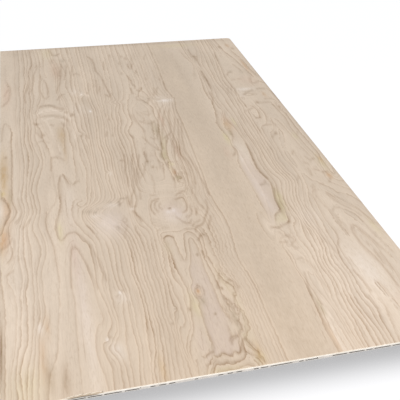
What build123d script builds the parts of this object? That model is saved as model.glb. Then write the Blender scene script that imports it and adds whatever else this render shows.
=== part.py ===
# A softwood plywood sheet that lies flat on its back veneer, with the good face up.
# Five veneers are glued face to face, each with its grain square to the next one's.
# Millimetres. +X runs across the sheet, +Y runs along the face grain, and +Z is up.
# The origin is on the underside, in the middle of the sheet.
# The near edge is the short sawn edge at -Y, and the left edge is the long one at -X.
from build123d import *
import os

# Trimmed size of the sheet
sheet_width = 1220.0
sheet_length = 2440.0

# Thickness of each veneer, from the good face down
face_thickness = 2.4
upper_crossband_thickness = 2.4
core_thickness = 2.4
lower_crossband_thickness = 2.4
back_thickness = 2.4

# Corners and arrises, as the saw and the handling left them
corner_radius = 2.0
worn_corner_radius = 18.0
arris = 0.4

# Slivers torn out of the lower crossband along the near edge, where the saw ran with its grain.
# Each is the distance from the left edge to the sliver's start, and the sliver's length.
torn_slivers = [
    (18.0, 26.0),
    (62.0, 14.0),
    (101.0, 38.0),
    (145.0, 54.0),
    (202.0, 36.0),
    (241.0, 44.0),
    (291.0, 36.0),
    (354.0, 13.0),
    (376.0, 18.0),
    (400.0, 17.0),
    (465.0, 9.0),
    (525.0, 14.0),
    (549.0, 15.0),
    (572.0, 16.0),
    (618.0, 14.0),
    (637.0, 20.0),
    (662.0, 61.0),
    (740.0, 13.0),
    (757.0, 36.0),
    (832.0, 41.0),
    (878.0, 45.0),
    (927.0, 19.0),
    (951.0, 48.0),
    (1003.0, 24.0),
    (1063.0, 33.0),
    (1121.0, 16.0),
    (1162.0, 40.0),
]
sliver_slope = 0.22
sliver_depth_limit = 7.0

# A chip in the near edge, knocked in from above. The face is broken across its grain into
# square-ended splinters of equal width, this deep in turn. The crossband under it is torn along
# its own grain, a little less far in, so that it shows as a ledge.
chip_start = 143.0
chip_length = 98.0
splinter_depths = [1.6, 3.2, 5.4, 4.4, 6.6, 5.0, 7.0, 4.6, 6.0, 5.2]
splinter_slant = 0.7
chip_ledge_inset = 5.0
chip_ledge_depth = 3.0

# Core gaps: an inner veneer is laid from strips, and their joints open towards the sawn edges.
# Crossband joints run across the sheet, at these distances from the near edge. Core joints run
# along it, at these distances from the left edge. The reach is how far in a joint stays open.
gap_width = 2.6
gap_reach = 160.0
upper_crossband_joints = [560.0, 1130.0, 1870.0]
core_joints = [330.0, 790.0]
lower_crossband_joints = [410.0, 1290.0, 2040.0]

# How far a cut runs out past the edge that it opens through
run_out = 1.0

# Heights of the glue lines above the underside
back_top = back_thickness
lower_crossband_top = back_top + lower_crossband_thickness
core_top = lower_crossband_top + core_thickness
upper_crossband_top = core_top + upper_crossband_thickness

# The four sawn edges
left = -sheet_width / 2
right = sheet_width / 2
near = -sheet_length / 2
far = sheet_length / 2


def sheet_outline():
    """The sheet seen from above: three crisp corners, and a worn one at the far right."""
    with BuildSketch() as outline:
        Rectangle(sheet_width, sheet_length)
        corners = outline.vertices()
        crisp = [
            corners.sort_by_distance(place)[0]
            for place in ((left, near), (right, near), (left, far))
        ]
        fillet(crisp, corner_radius)
        worn = outline.vertices().sort_by_distance((right, far))[0]
        fillet(worn, worn_corner_radius)
    return outline.sketch


def bite(start, length, depth):
    """A shallow scoop out of the near edge, deepest in the middle and running out at its ends."""
    begin = left + start
    end = begin + length
    inside = ThreePointArc((begin, near), (begin + length / 2, near + depth), (end, near))
    outside = Polyline((end, near), (end, near - run_out), (begin, near - run_out), (begin, near))
    return make_face([inside, outside])


def sliver_bites():
    """One scoop for each torn sliver that the sheet is wide enough to hold."""
    return [
        bite(start, length, min(length * sliver_slope, sliver_depth_limit))
        for start, length in torn_slivers
        if start + length < sheet_width - corner_radius
    ]


def broken_splinters():
    """The chip in the face: a row of splinters, each broken off at its own depth and slant."""
    begin = left + chip_start
    width = chip_length / len(splinter_depths)
    corners = [(begin, near - run_out)]
    for number, depth in enumerate(splinter_depths):
        corners.append((begin + number * width, near + depth - splinter_slant))
        corners.append((begin + (number + 1) * width, near + depth))
    corners.append((begin + chip_length, near - run_out))
    return make_face(Polyline(*corners, close=True))


def chip_ledge():
    """The chip in the crossband under the face, torn out in one long scoop."""
    return bite(
        chip_start + chip_ledge_inset,
        chip_length - 2 * chip_ledge_inset,
        chip_ledge_depth,
    )


def wedge(mouth, tip, across):
    """A joint that is open at the mouth on the edge and closes to nothing at its tip."""
    half = across * (gap_width / 2)
    out = (mouth - tip).normalized() * run_out
    return make_face(
        Polyline(tip, mouth + half, mouth + half + out, mouth - half + out, mouth - half, close=True)
    )


def joints_across(places):
    """The open ends of joints that run across the sheet, one at each long edge."""
    ends = []
    for place in places:
        y = near + place
        ends.append(wedge(Vector(left, y), Vector(left + gap_reach, y), Vector(0, 1)))
        ends.append(wedge(Vector(right, y), Vector(right - gap_reach, y), Vector(0, 1)))
    return ends


def joints_along(places):
    """The open ends of joints that run along the sheet, one at each short edge."""
    ends = []
    for place in places:
        x = left + place
        ends.append(wedge(Vector(x, near), Vector(x, near + gap_reach), Vector(1, 0)))
        ends.append(wedge(Vector(x, far), Vector(x, far - gap_reach), Vector(1, 0)))
    return ends


def veneer(underside, thickness, cuts):
    """One veneer, trimmed to the sheet and lying on the glue line below it."""
    flat = sheet_outline()
    for cut in cuts:
        flat -= cut
    return extrude(Pos(0, 0, underside) * flat, thickness)


def ease_arris(solid, outer_face):
    """Takes the sharpness off the arris round an outer face."""
    return chamfer(outer_face.edges(), arris)


def face_veneer():
    """The good face: one rotary-cut veneer, whole across the sheet but for the chip."""
    solid = veneer(upper_crossband_top, face_thickness, [])
    eased = ease_arris(solid, solid.faces().sort_by(Axis.Z)[-1])
    return eased - extrude(Pos(0, 0, upper_crossband_top) * broken_splinters(), face_thickness)


def upper_crossband():
    """The veneer under the face, laid with its grain across the sheet."""
    cuts = [chip_ledge()] + joints_across(upper_crossband_joints)
    return veneer(core_top, upper_crossband_thickness, cuts)


def core():
    """The middle veneer, with its grain along the sheet."""
    return veneer(lower_crossband_top, core_thickness, joints_along(core_joints))


def lower_crossband():
    """The veneer above the back, torn along the near edge where the saw ran with its grain."""
    cuts = sliver_bites() + joints_across(lower_crossband_joints)
    return veneer(back_top, lower_crossband_thickness, cuts)


def back_veneer():
    """The plain back that the sheet lies on."""
    solid = veneer(0, back_thickness, [])
    return ease_arris(solid, solid.faces().sort_by(Axis.Z)[0])


sheet = {
    "face_veneer": face_veneer(),
    "upper_crossband": upper_crossband(),
    "core_veneer": core(),
    "lower_crossband": lower_crossband(),
    "back_veneer": back_veneer(),
}

os.makedirs("parts", exist_ok=True)
for name, solid in sheet.items():
    solid.label = name
    export_step(solid, f"parts/{name}.step")
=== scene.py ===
"""A 12 mm softwood plywood sheet, lying flat with its good face up, seen from above one short edge."""
from math import radians

import bpy
import numpy as np
from mathutils import Matrix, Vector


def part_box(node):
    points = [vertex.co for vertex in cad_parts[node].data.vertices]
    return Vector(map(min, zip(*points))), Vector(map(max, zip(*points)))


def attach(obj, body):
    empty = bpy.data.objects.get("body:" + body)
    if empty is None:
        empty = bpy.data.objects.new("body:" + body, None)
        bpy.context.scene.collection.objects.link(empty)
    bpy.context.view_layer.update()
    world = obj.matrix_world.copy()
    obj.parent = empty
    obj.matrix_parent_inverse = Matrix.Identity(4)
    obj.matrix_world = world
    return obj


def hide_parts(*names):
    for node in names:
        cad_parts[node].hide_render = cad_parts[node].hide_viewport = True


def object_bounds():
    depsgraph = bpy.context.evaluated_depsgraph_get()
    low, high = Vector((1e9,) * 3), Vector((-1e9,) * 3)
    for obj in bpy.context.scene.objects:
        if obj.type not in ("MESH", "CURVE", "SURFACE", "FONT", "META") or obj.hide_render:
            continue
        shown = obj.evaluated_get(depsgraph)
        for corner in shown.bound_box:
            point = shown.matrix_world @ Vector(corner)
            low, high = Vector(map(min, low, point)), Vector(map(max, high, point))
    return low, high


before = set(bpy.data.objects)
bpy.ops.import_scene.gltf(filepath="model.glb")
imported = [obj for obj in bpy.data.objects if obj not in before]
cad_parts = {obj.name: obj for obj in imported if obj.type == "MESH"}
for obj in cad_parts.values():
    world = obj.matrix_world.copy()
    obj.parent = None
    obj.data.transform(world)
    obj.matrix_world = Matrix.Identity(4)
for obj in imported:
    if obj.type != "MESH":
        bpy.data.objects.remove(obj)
cad_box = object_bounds()


# The camera.
# It stands 1.2 m back from the near short edge, at chest height, and looks down along the sheet.
EYE = (-0.4417, -2.4553, 1.3067)
HEADING = 15.66             # degrees from +Y towards +X
TILT_DOWN = 31.56
ROLL = 1.93
FOCAL_LENGTH = 64.06        # mm
SENSOR_WIDTH = 36.0         # mm
SIDE_SHIFT = -0.05          # the photograph is cropped off centre

camera = bpy.data.objects.new("camera", bpy.data.cameras.new("camera"))
camera.data.lens = FOCAL_LENGTH
camera.data.sensor_width = SENSOR_WIDTH
camera.data.shift_x = SIDE_SHIFT
camera.data.clip_start = 0.05
camera.matrix_world = (
    Matrix.Translation(EYE)
    @ Matrix.Rotation(radians(-HEADING), 4, "Z")
    @ Matrix.Rotation(radians(90 - TILT_DOWN), 4, "X")
    @ Matrix.Rotation(radians(ROLL), 4, "Z")
)
bpy.context.scene.collection.objects.link(camera)
bpy.context.scene.camera = camera
bpy.context.scene.view_settings.view_transform = "Standard"


# The floor and the light.
# A matt white floor under soft daylight from the front right. The floor is white to the camera and
# keeps the sheet's shadow from the lamps, and a soft painted shadow is painted into it in front of
# the near edge.
MM = 0.001
SHEET_LOW, SHEET_HIGH = (np.array(corner) for corner in cad_box)
FLOOR_SIZE = 60.0           # m across
FLOOR_WHITE = "#F4F4F3"
FLOOR_GLOW = "#FAFBFF"
LIT_SHARE = 0.38            # how much of the floor's whiteness to the camera comes from the lamps
OWN_SHARE = 0.70            # and how much it gives off itself
# The soft shadow in front of the near edge is painted into the floor's colour, not cast by a lamp.
PAINTED_SHADE_DEPTH = 0.53          # how much of the floor's light is lost at the near edge
PAINTED_SHADE_REACH = 84 * MM       # where that has fallen to a third
PAINTED_SHADE_START = -20 * MM      # from a little under the sheet
PAINTED_SHADE_SIDE = 30 * MM        # how softly the shade ends at the corners
SKY_STRENGTH = 0.52         # the sky as the sheet sees it: to the camera it is plain white
SUN_STRENGTH = 1.5
SUN_WIDTH = 25              # degrees across, a bright part of the sky, so that shadows are soft
SUN_TURN, SUN_LEAN = 30, 46             # degrees, round the sheet and away from overhead
WINDOW_WHITE = "#FFF3E6"
WINDOW_POWER = 7            # W
WINDOW_SIZE = 1.6, 1.2      # m
WINDOW_PLACE = 0.1, -2.0, 1.2
WINDOW_TURN, WINDOW_LEAN = 5, 38        # degrees


def linear(shade):
    """An sRGB hex colour as the linear red, green, blue and alpha that a socket takes."""
    parts = (int(shade[place:place + 2], 16) / 255 for place in (1, 3, 5))
    return (*(part / 12.92 if part <= 0.04045 else ((part + 0.055) / 1.055) ** 2.4 for part in parts), 1)


def add(tree, kind, inputs=(), operation=None, **settings):
    """Adds one node with its settings, and fills or links its inputs, named or as a list in their
    order. A node that is given as an input stands for its first output. The list for a MapRange is
    the value, the two ends of its range, and the two ends of the range it is carried over to."""
    made = tree.nodes.new("ShaderNode" + kind)
    if operation:
        made.operation = operation
    for setting, value in settings.items():
        setattr(made, setting, value)
    for socket, value in inputs.items() if isinstance(inputs, dict) else enumerate(inputs):
        if isinstance(value, bpy.types.Node):
            value = value.outputs[0]
        if isinstance(value, bpy.types.NodeSocket):
            tree.links.new(value, made.inputs[socket])
        else:
            made.inputs[socket].default_value = value
    return made


def fading(tree, distance, reach):
    """1 where a distance is 0, falling softly to a third at the reach and to 0 beyond it."""
    share = add(tree, "Math", [distance, reach], "DIVIDE")
    squared = add(tree, "Math", [share, share], "MULTIPLY")
    falling = add(tree, "Math", [squared, -1], "MULTIPLY")
    return add(tree, "Math", [falling], "EXPONENT")


def start_material(name):
    """A new material with an empty node tree."""
    material = bpy.data.materials.new(name)
    material.use_nodes = True
    material.node_tree.nodes.clear()
    return material, material.node_tree


def put_in_scene(name, data):
    """An object at the origin that shows a mesh or holds a lamp."""
    piece = bpy.data.objects.new(name, data)
    bpy.context.scene.collection.objects.link(piece)
    return piece


floor_mesh = bpy.data.meshes.new("floor")
half = FLOOR_SIZE / 2
corners = [(-half, -half, 0), (half, -half, 0), (half, half, 0), (-half, half, 0)]
floor_mesh.from_pydata(corners, [], [(0, 1, 2, 3)])
floor = put_in_scene("floor", floor_mesh)

# Matt white paint. To the camera it gives off most of its whiteness itself, so that the lamps can
# stay at a plain level, and the rest comes from the lamps and shows the sheet's shadow. Both shares
# are darkened by the painted shadow in front of the near edge.
floor_paint, tree = start_material("matt white floor paint")
place = add(tree, "SeparateXYZ", [add(tree, "TexCoord").outputs["Object"]])
# The painted shadow: deepest at the near edge, fading forward and softly at the two corners.
in_front = add(tree, "Math", [SHEET_LOW[1], place.outputs["Y"]], "SUBTRACT")
before_edge = add(tree, "Math", [in_front, PAINTED_SHADE_START], "GREATER_THAN")
aside = add(tree, "Math", [place.outputs["X"]], "ABSOLUTE")
beside = add(tree, "MapRange", [aside, SHEET_HIGH[0] + PAINTED_SHADE_SIDE, SHEET_HIGH[0] - PAINTED_SHADE_SIDE],
             interpolation_type="SMOOTHSTEP")
shade = add(tree, "Math", [fading(tree, in_front, PAINTED_SHADE_REACH), before_edge], "MULTIPLY")
shade = add(tree, "Math", [shade, beside], "MULTIPLY")
kept = add(tree, "Math", [shade, -PAINTED_SHADE_DEPTH, 1], "MULTIPLY_ADD")
seen = add(tree, "LightPath")
seen_white = add(tree, "Math", [
    seen.outputs["Is Camera Ray"], seen.outputs["Is Glossy Ray"]], "MAXIMUM")
seen_white = add(tree, "Math", [seen_white, seen.outputs["Is Transmission Ray"]], "MAXIMUM")
lit_share = add(tree, "Math", [kept, LIT_SHARE], "MULTIPLY")
own_share = add(tree, "Math", [kept, OWN_SHARE], "MULTIPLY")
grey = add(tree, "CombineColor", [lit_share, lit_share, lit_share])
to_camera = add(tree, "AddShader", [
    add(tree, "BsdfDiffuse", {"Color": grey}),
    add(tree, "Emission", {"Color": linear(FLOOR_GLOW), "Strength": own_share})])
to_sheet = add(tree, "BsdfDiffuse", {"Color": linear(FLOOR_WHITE)})
add(tree, "OutputMaterial", [add(tree, "MixShader", [seen_white, to_sheet, to_camera])])
floor_mesh.materials.append(floor_paint)

sky = bpy.data.worlds.new("soft daylight")
sky.use_nodes = True
tree = sky.node_tree
tree.nodes.clear()
seen = add(tree, "LightPath")
seen_white = add(tree, "Math", [
    seen.outputs["Is Camera Ray"], seen.outputs["Is Transmission Ray"]], "MAXIMUM")
sky_light = add(tree, "Background", {"Color": linear("#FFFFFF"), "Strength": SKY_STRENGTH})
sky_white = add(tree, "Background", {"Color": linear("#FFFFFF"), "Strength": 1})
add(tree, "OutputWorld", [add(tree, "MixShader", [seen_white, sky_light, sky_white])])
bpy.context.scene.world = sky

daylight = put_in_scene("daylight", bpy.data.lights.new("daylight", "SUN"))
daylight.data.energy = SUN_STRENGTH
daylight.data.angle = radians(SUN_WIDTH)
daylight.matrix_world = (
    Matrix.Rotation(radians(SUN_TURN), 4, "Z")
    @ Matrix.Rotation(radians(SUN_LEAN), 4, "X")
)

window = put_in_scene("window", bpy.data.lights.new("window", "AREA"))
window.data.shape = "RECTANGLE"
window.data.size, window.data.size_y = WINDOW_SIZE
window.data.energy = WINDOW_POWER
window.data.color = linear(WINDOW_WHITE)[:3]
window.matrix_world = (
    Matrix.Translation(WINDOW_PLACE)
    @ Matrix.Rotation(radians(WINDOW_TURN), 4, "Z")
    @ Matrix.Rotation(radians(WINDOW_LEAN), 4, "X")
)


# The good face.
# One veneer of softwood, peeled off a turning log and then sanded. The knife met each growth ring
# again and again at a flat angle, so the rings show as long wandering contour lines, with islands,
# arches and whorls wherever the trunk swelled round a knot.
LEFT, NEAR = SHEET_LOW[:2] / MM
RIGHT, FAR = SHEET_HIGH[:2] / MM
WIDTH = RIGHT - LEFT
FACE_BASE, FACE_TOP = (corner[2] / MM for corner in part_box("face_veneer"))
ARRIS = 0.4                 # mm taken off the sharp arris
CORNER = 2.0                # mm radius, left by the saw
WORN_CORNER = 18.0          # mm radius of the far right corner, knocked off in handling
CHIP_START = 143.0          # mm from the left edge to the chip in the near edge
CHIP_LENGTH = 98.0
SPLINTER_DEPTHS = [1.6, 3.2, 5.4, 4.4, 6.6, 5.0, 7.0, 4.6, 6.0, 5.2]
SPLINTER_SLANT = 0.7        # mm more on one side of a splinter than on the other
CHIP_REACH = 20.0           # mm from the near edge, which no splinter breaks back past
CHIP_GIVE = 45.0            # mm over which the rows of the mesh make room for the chip
COLUMNS = 290
ROWS = 276
ROW_CROWDING = 0.45         # the rows stand closer towards the near edge, which is seen largest
SPLIT = 0.15                # mm from the side of a splinter to the two columns along it
SPLIT_ROOM = 1.2            # mm that the other columns keep from it
SPACING = 3, 150            # mm, the least and the most between two rings

# Growth lines, drawn on a plan of the face: the number of a ring, then its course in mm
# from the left edge and from the near edge.
growth_lines = [
    # Beside the left edge, bulging round a knot that the edge cuts off
    (2, (0, 1010), (6, 968), (18, 932), (27, 895), (33, 873), (30, 850), (23, 823), (14, 795), (9, 770),
     (0, 735)),
    (3, (10, 0), (10, 150), (12, 300), (8, 400), (2, 470), (0, 490)),
    (3, (5, 1490), (4, 1530), (10, 1565), (18, 1578), (26, 1560), (32, 1536), (39, 1505), (43, 1445),
     (39, 1382), (42, 1300), (40, 1220), (39, 1136), (37, 977), (36, 940), (41, 914), (48, 886), (50, 859),
     (43, 827), (33, 810), (25, 787), (24, 753), (28, 720), (29, 700), (24, 672), (13, 657), (0, 645)),
    (3, (34, 630), (33, 607), (20, 580), (6, 562), (0, 558)),
    (3, (10, 1760), (18, 1782), (28, 1830), (36, 1880), (32, 1950), (26, 2020), (22, 2120), (20, 2250),
     (10, 2320), (8, 2440)),
    (4, (23, 0), (24, 100), (28, 150), (33, 190), (36, 218), (38, 260), (38, 300), (43, 340), (42, 370),
     (37, 420), (28, 455), (20, 480), (15, 505), (20, 522), (30, 548), (37, 575), (41, 610), (42, 655),
     (43, 700), (43, 750), (47, 790), (57, 805), (64, 832), (68, 859), (64, 895), (57, 932), (60, 1000),
     (66, 1100), (69, 1200), (64, 1300), (64, 1400), (64, 1500), (60, 1600), (64, 1700), (68, 1800),
     (66, 1900), (64, 2000), (68, 2200), (66, 2440)),
    (5, (38, 0), (37, 50), (35, 100), (37, 140), (39, 180), (45, 200), (50, 222), (50, 260), (50, 300),
     (55, 350), (54, 390), (50, 420), (58, 460), (60, 490), (57, 530), (52, 587), (52, 650), (56, 700),
     (57, 750), (62, 790), (72, 830), (77, 859), (75, 900), (69, 940), (72, 1000), (80, 1100), (84, 1200),
     (80, 1300), (77, 1400), (75, 1500), (78, 1600), (82, 1700), (84, 1800), (80, 1900), (82, 2000),
     (88, 2200), (84, 2440)),
    (6, (50, 0), (49, 50), (45, 100), (47, 133), (50, 153), (55, 180), (62, 200), (67, 225), (67, 260),
     (68, 300), (70, 350), (66, 400), (65, 420), (68, 443), (76, 483), (77, 507), (73, 537), (70, 567),
     (68, 603), (68, 653), (70, 687), (68, 720), (67, 743), (75, 790), (84, 820), (91, 855), (88, 900),
     (84, 950), (86, 1000), (91, 1100), (100, 1200), (98, 1300), (89, 1400), (95, 1500), (98, 1600),
     (93, 1650), (96, 1720), (100, 1800), (98, 1860), (104, 1920), (110, 2000), (108, 2100), (112, 2200),
     (108, 2440)),
    (7, (58, 0), (59, 50), (63, 103), (65, 127), (70, 153), (75, 187), (78, 220), (80, 250), (85, 300),
     (88, 350), (89, 400), (90, 420), (88, 450), (90, 500), (88, 550), (90, 600), (88, 650), (83, 700),
     (82, 750), (90, 800), (104, 850), (100, 900), (98, 950), (94, 1000), (105, 1100), (118, 1200),
     (116, 1300), (105, 1400), (109, 1500), (107, 1550), (102, 1600), (100, 1650), (104, 1720), (107, 1760),
     (105, 1800), (102, 1850), (109, 1900), (116, 1950), (118, 2000), (116, 2060), (118, 2120), (126, 2200),
     (128, 2300), (122, 2440)),
    (8, (71, 0), (72, 50), (75, 100), (80, 137), (83, 167), (85, 200), (88, 247), (99, 300), (103, 350),
     (101, 400), (100, 450), (100, 500), (107, 553), (115, 600), (117, 640), (108, 700), (98, 750),
     (104, 800), (116, 850), (110, 900), (110, 950), (103, 1000), (118, 1100), (139, 1200), (126, 1300),
     (114, 1400), (120, 1500), (118, 1600), (119, 1650), (124, 1720), (126, 1800), (124, 1880), (132, 1950),
     (134, 2000), (128, 2060), (125, 2100), (132, 2150), (145, 2200), (148, 2250), (148, 2300), (143, 2350),
     (138, 2440)),
    (9, (87, 0), (87, 50), (89, 100), (92, 150), (95, 200), (98, 250), (111, 300), (117, 350), (114, 400),
     (115, 450), (113, 500), (122, 560), (132, 600), (132, 650), (127, 700), (118, 750), (118, 800),
     (127, 850), (125, 900), (123, 950), (120, 1000), (136, 1100), (150, 1180), (146, 1300), (132, 1400),
     (136, 1480), (132, 1560), (128, 1650), (134, 1720), (142, 1800), (140, 1900), (148, 2000), (150, 2050),
     (146, 2100), (152, 2160), (168, 2200), (168, 2300), (160, 2440)),
    (10, (106, 0), (112, 53), (115, 87), (120, 110), (128, 123), (133, 140), (137, 160), (143, 200),
     (145, 253), (148, 300), (152, 327), (157, 353), (158, 420), (163, 450), (160, 500), (158, 550),
     (157, 600), (155, 650), (147, 700), (142, 750), (142, 800), (150, 850), (160, 890), (168, 930),
     (171, 980), (170, 1030), (175, 1080), (178, 1130), (180, 1200), (182, 1250), (172, 1330), (160, 1400),
     (160, 1440), (150, 1500), (140, 1540), (146, 1600), (150, 1640), (150, 1690), (160, 1740), (170, 1800),
     (168, 1880), (170, 1950), (174, 2000), (180, 2032), (178, 2100), (186, 2200), (184, 2300), (176, 2440)),
    (11, (143, 0), (150, 50), (155, 90), (158, 112), (164, 118), (166, 85), (163, 55), (155, 25), (152, 0)),
    # The tall arch, and the finger over it with its zigzag head
    (11, (188, 0), (188, 87), (190, 153), (193, 220), (195, 270), (196, 310), (198, 360), (195, 400),
     (194, 440), (197, 480), (200, 520), (203, 560), (207, 600), (215, 632), (225, 605), (233, 567),
     (245, 520), (248, 500), (248, 483), (252, 460), (258, 437), (256, 400), (257, 370), (260, 320),
     (267, 287), (267, 262), (258, 250), (248, 245), (243, 220), (238, 193), (235, 170), (235, 137),
     (238, 103), (245, 53), (247, 0)),
    (11.6, (212, 0), (212, 200), (218, 350), (222, 450), (218, 540)),
    (10, (261, 0), (262, 20), (265, 80), (263, 100), (258, 120), (253, 143), (252, 160), (258, 188),
     (268, 202), (275, 212), (282, 233), (287, 270), (285, 303), (278, 337), (275, 370), (268, 400),
     (267, 420), (265, 450), (268, 480), (270, 503), (267, 530), (265, 570), (265, 600), (262, 623),
     (253, 647), (240, 663), (235, 690), (227, 705), (217, 702), (207, 702), (197, 687), (190, 673),
     (180, 668), (172, 683), (168, 703), (168, 750), (173, 793), (183, 820), (189, 860), (193, 900),
     (192, 950), (190, 1000), (195, 1035), (200, 1060), (205, 1085), (212, 1093), (218, 1080), (225, 1050),
     (232, 1025), (238, 1012), (245, 1010), (252, 1025), (258, 1045), (262, 1080), (263, 1110), (265, 1150),
     (262, 1200), (265, 1240), (268, 1300), (262, 1360), (264, 1420), (258, 1480), (262, 1540)),
    (9.6, (181, 700), (181, 760)), (9.5, (212, 760), (212, 850), (214, 950), (218, 1010)),
    (9, (284, 0), (285, 37), (287, 87), (283, 110), (273, 130), (263, 157), (270, 172), (285, 185),
     (293, 203), (298, 233), (297, 270), (293, 293), (292, 320), (287, 347), (283, 387), (280, 420),
     (288, 450), (287, 480), (283, 500), (283, 560), (283, 620), (277, 647), (263, 677), (252, 707),
     (240, 740), (233, 755), (228, 780), (226, 820), (232, 864), (236, 891), (248, 905), (264, 907),
     (273, 891), (282, 880), (286, 900), (291, 977), (295, 1023), (302, 1100), (291, 1200), (292, 1300),
     (291, 1400), (285, 1470), (282, 1540), (285, 1570), (278, 1640), (275, 1700), (270, 1760), (262, 1810),
     (256, 1860), (262, 1950), (268, 2000), (272, 2100), (264, 2200), (250, 2300), (245, 2440)),
    (8, (299, 0), (300, 73), (297, 100), (290, 120), (277, 153), (283, 165), (292, 185), (300, 210),
     (304, 240), (303, 287), (301, 310), (299, 370), (298, 420), (302, 450), (302, 500), (300, 560),
     (297, 620), (295, 653), (287, 677), (277, 710), (267, 737), (258, 770), (262, 830), (285, 850),
     (292, 880), (300, 920), (307, 977), (309, 1023), (320, 1100), (318, 1200), (312, 1300), (306, 1400),
     (300, 1480), (300, 1560), (300, 1640), (305, 1720), (300, 1800), (290, 1880), (288, 1950), (295, 2000),
     (295, 2100), (282, 2200), (277, 2300), (272, 2440)),
    (7, (311, 0), (312, 50), (311, 100), (312, 150), (316, 200), (323, 250), (323, 300), (328, 350),
     (322, 400), (320, 430), (318, 500), (318, 560), (318, 600), (311, 650), (294, 700), (281, 740),
     (270, 775), (266, 800), (270, 822), (284, 845), (298, 865), (308, 885), (316, 930), (318, 1000),
     (330, 1100), (330, 1200), (330, 1300), (322, 1380), (320, 1412), (318, 1480), (322, 1560), (318, 1650),
     (316, 1720), (318, 1800), (314, 1850), (309, 1900), (316, 2000), (318, 2100), (314, 2200), (298, 2300),
     (296, 2440)),
    (6, (325, 0), (330, 50), (338, 100), (340, 150), (337, 200), (337, 250), (337, 300), (338, 350),
     (332, 400), (330, 440), (334, 520), (336, 600), (328, 650), (308, 700), (291, 740), (278, 775),
     (272, 800), (277, 822), (296, 845), (314, 865), (326, 885), (336, 930), (336, 960), (335, 1020),
     (334, 1100), (338, 1250), (340, 1350), (338, 1450), (336, 1550), (336, 1650), (330, 1750), (330, 1850),
     (330, 1950), (333, 2050), (330, 2200), (322, 2440)),
    (5, (337, 0), (340, 50), (346, 100), (351, 150), (350, 200), (350, 250), (353, 300), (350, 350),
     (352, 400), (346, 440), (348, 520), (350, 600), (341, 650), (320, 700), (302, 740), (286, 775),
     (279, 800), (284, 822), (306, 845), (328, 865), (340, 885), (350, 930), (350, 1000), (344, 1100),
     (347, 1250), (350, 1400), (352, 1500), (352, 1600), (348, 1700), (344, 1790), (345, 1900), (347, 2050),
     (345, 2200), (340, 2440)),
    (4, (345, 0), (352, 50), (358, 100), (360, 150), (363, 200), (367, 250), (369, 300), (368, 350),
     (364, 400), (362, 440), (362, 520), (362, 600), (353, 650), (332, 700), (312, 740), (295, 775),
     (286, 800), (292, 822), (316, 845), (340, 865), (352, 885), (361, 930), (357, 1000), (356, 1100),
     (358, 1250), (362, 1400), (364, 1500), (366, 1620), (362, 1700), (366, 1790), (360, 1900), (362, 2050),
     (362, 2200), (358, 2440)),
    (3, (354, 0), (360, 50), (366, 100), (368, 150), (372, 200), (379, 250), (380, 300), (381, 350),
     (376, 400), (372, 440), (374, 520), (372, 600), (364, 650), (344, 700), (323, 740), (304, 775),
     (294, 800), (301, 822), (328, 845), (352, 865), (364, 885), (369, 930), (364, 1000), (368, 1100),
     (370, 1200), (366, 1300), (372, 1400), (376, 1500), (380, 1620), (374, 1700), (370, 1830), (374, 1950),
     (374, 2100), (372, 2440)),
    (2, (365, 0), (366, 50), (380, 100), (386, 150), (388, 200), (389, 250), (390, 300), (388, 350),
     (386, 400), (382, 440), (384, 520), (382, 600), (375, 650), (356, 700), (334, 740), (314, 775),
     (302, 800), (310, 822), (340, 845), (364, 865), (376, 885), (380, 930), (375, 1000), (378, 1100),
     (382, 1200), (378, 1300), (382, 1400), (388, 1500), (392, 1620), (386, 1700), (382, 1830), (386, 1950),
     (388, 2100), (388, 2440)),
    (1, (374, 0), (378, 50), (385, 100), (392, 150), (398, 200), (397, 250), (400, 300), (400, 350),
     (395, 400), (392, 440), (394, 520), (393, 600), (387, 650), (368, 700), (346, 740), (324, 775),
     (311, 800), (321, 822), (352, 845), (376, 865), (388, 885), (390, 940), (388, 1000), (388, 1100),
     (394, 1200), (388, 1300), (392, 1400), (400, 1500), (402, 1600), (398, 1700), (394, 1800), (398, 1900),
     (402, 2000), (404, 2200), (404, 2440)),
    (0, (384, 0), (392, 50), (400, 100), (401, 150), (407, 200), (404, 250), (408, 300), (408, 350),
     (405, 400), (404, 440), (406, 520), (404, 600), (398, 650), (381, 700), (358, 740), (336, 775),
     (321, 800), (333, 822), (366, 845), (388, 865), (398, 885), (398, 920), (396, 1000), (398, 1100),
     (403, 1200), (398, 1300), (404, 1400), (412, 1500), (414, 1600), (410, 1700), (406, 1800), (410, 1900),
     (414, 2000), (416, 2200), (420, 2440)),
    # The close lines left of the valley, pushed aside by the large knot
    (-1, (398, 0), (403, 50), (410, 100), (412, 150), (417, 200), (413, 250), (416, 300), (416, 350),
     (416, 400), (412, 440), (416, 520), (414, 600), (410, 650), (396, 700), (375, 740), (357, 775),
     (347, 800), (362, 825), (388, 848), (403, 865), (408, 885), (405, 950), (405, 1000), (407, 1100),
     (411, 1200), (407, 1300), (414, 1400), (420, 1500), (420, 1600), (418, 1700), (417, 1800), (423, 1900),
     (427, 1960), (430, 2050), (430, 2200), (436, 2440)),
    (-2, (410, 0), (415, 50), (418, 100), (425, 150), (428, 200), (425, 250), (427, 300), (428, 350),
     (428, 400), (424, 440), (427, 520), (427, 590), (423, 640), (416, 680), (413, 740), (414, 800),
     (414, 850), (414, 900), (418, 960), (420, 1000), (420, 1100), (423, 1200), (418, 1300), (426, 1400),
     (430, 1480), (427, 1550), (427, 1620), (430, 1700), (432, 1800), (436, 1860), (440, 1950), (445, 2100),
     (444, 2250), (450, 2440)),
    (-3, (425, 0), (427, 50), (431, 100), (438, 150), (437, 200), (434, 250), (437, 300), (440, 350),
     (440, 400), (436, 440), (440, 520), (441, 590), (438, 640), (428, 690), (422, 740), (421, 800),
     (422, 850), (424, 900), (427, 950), (427, 1000), (430, 1100), (437, 1150), (439, 1200), (434, 1300),
     (436, 1400), (442, 1480), (437, 1550), (440, 1620), (446, 1700), (450, 1770), (452, 1850), (456, 1900),
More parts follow.
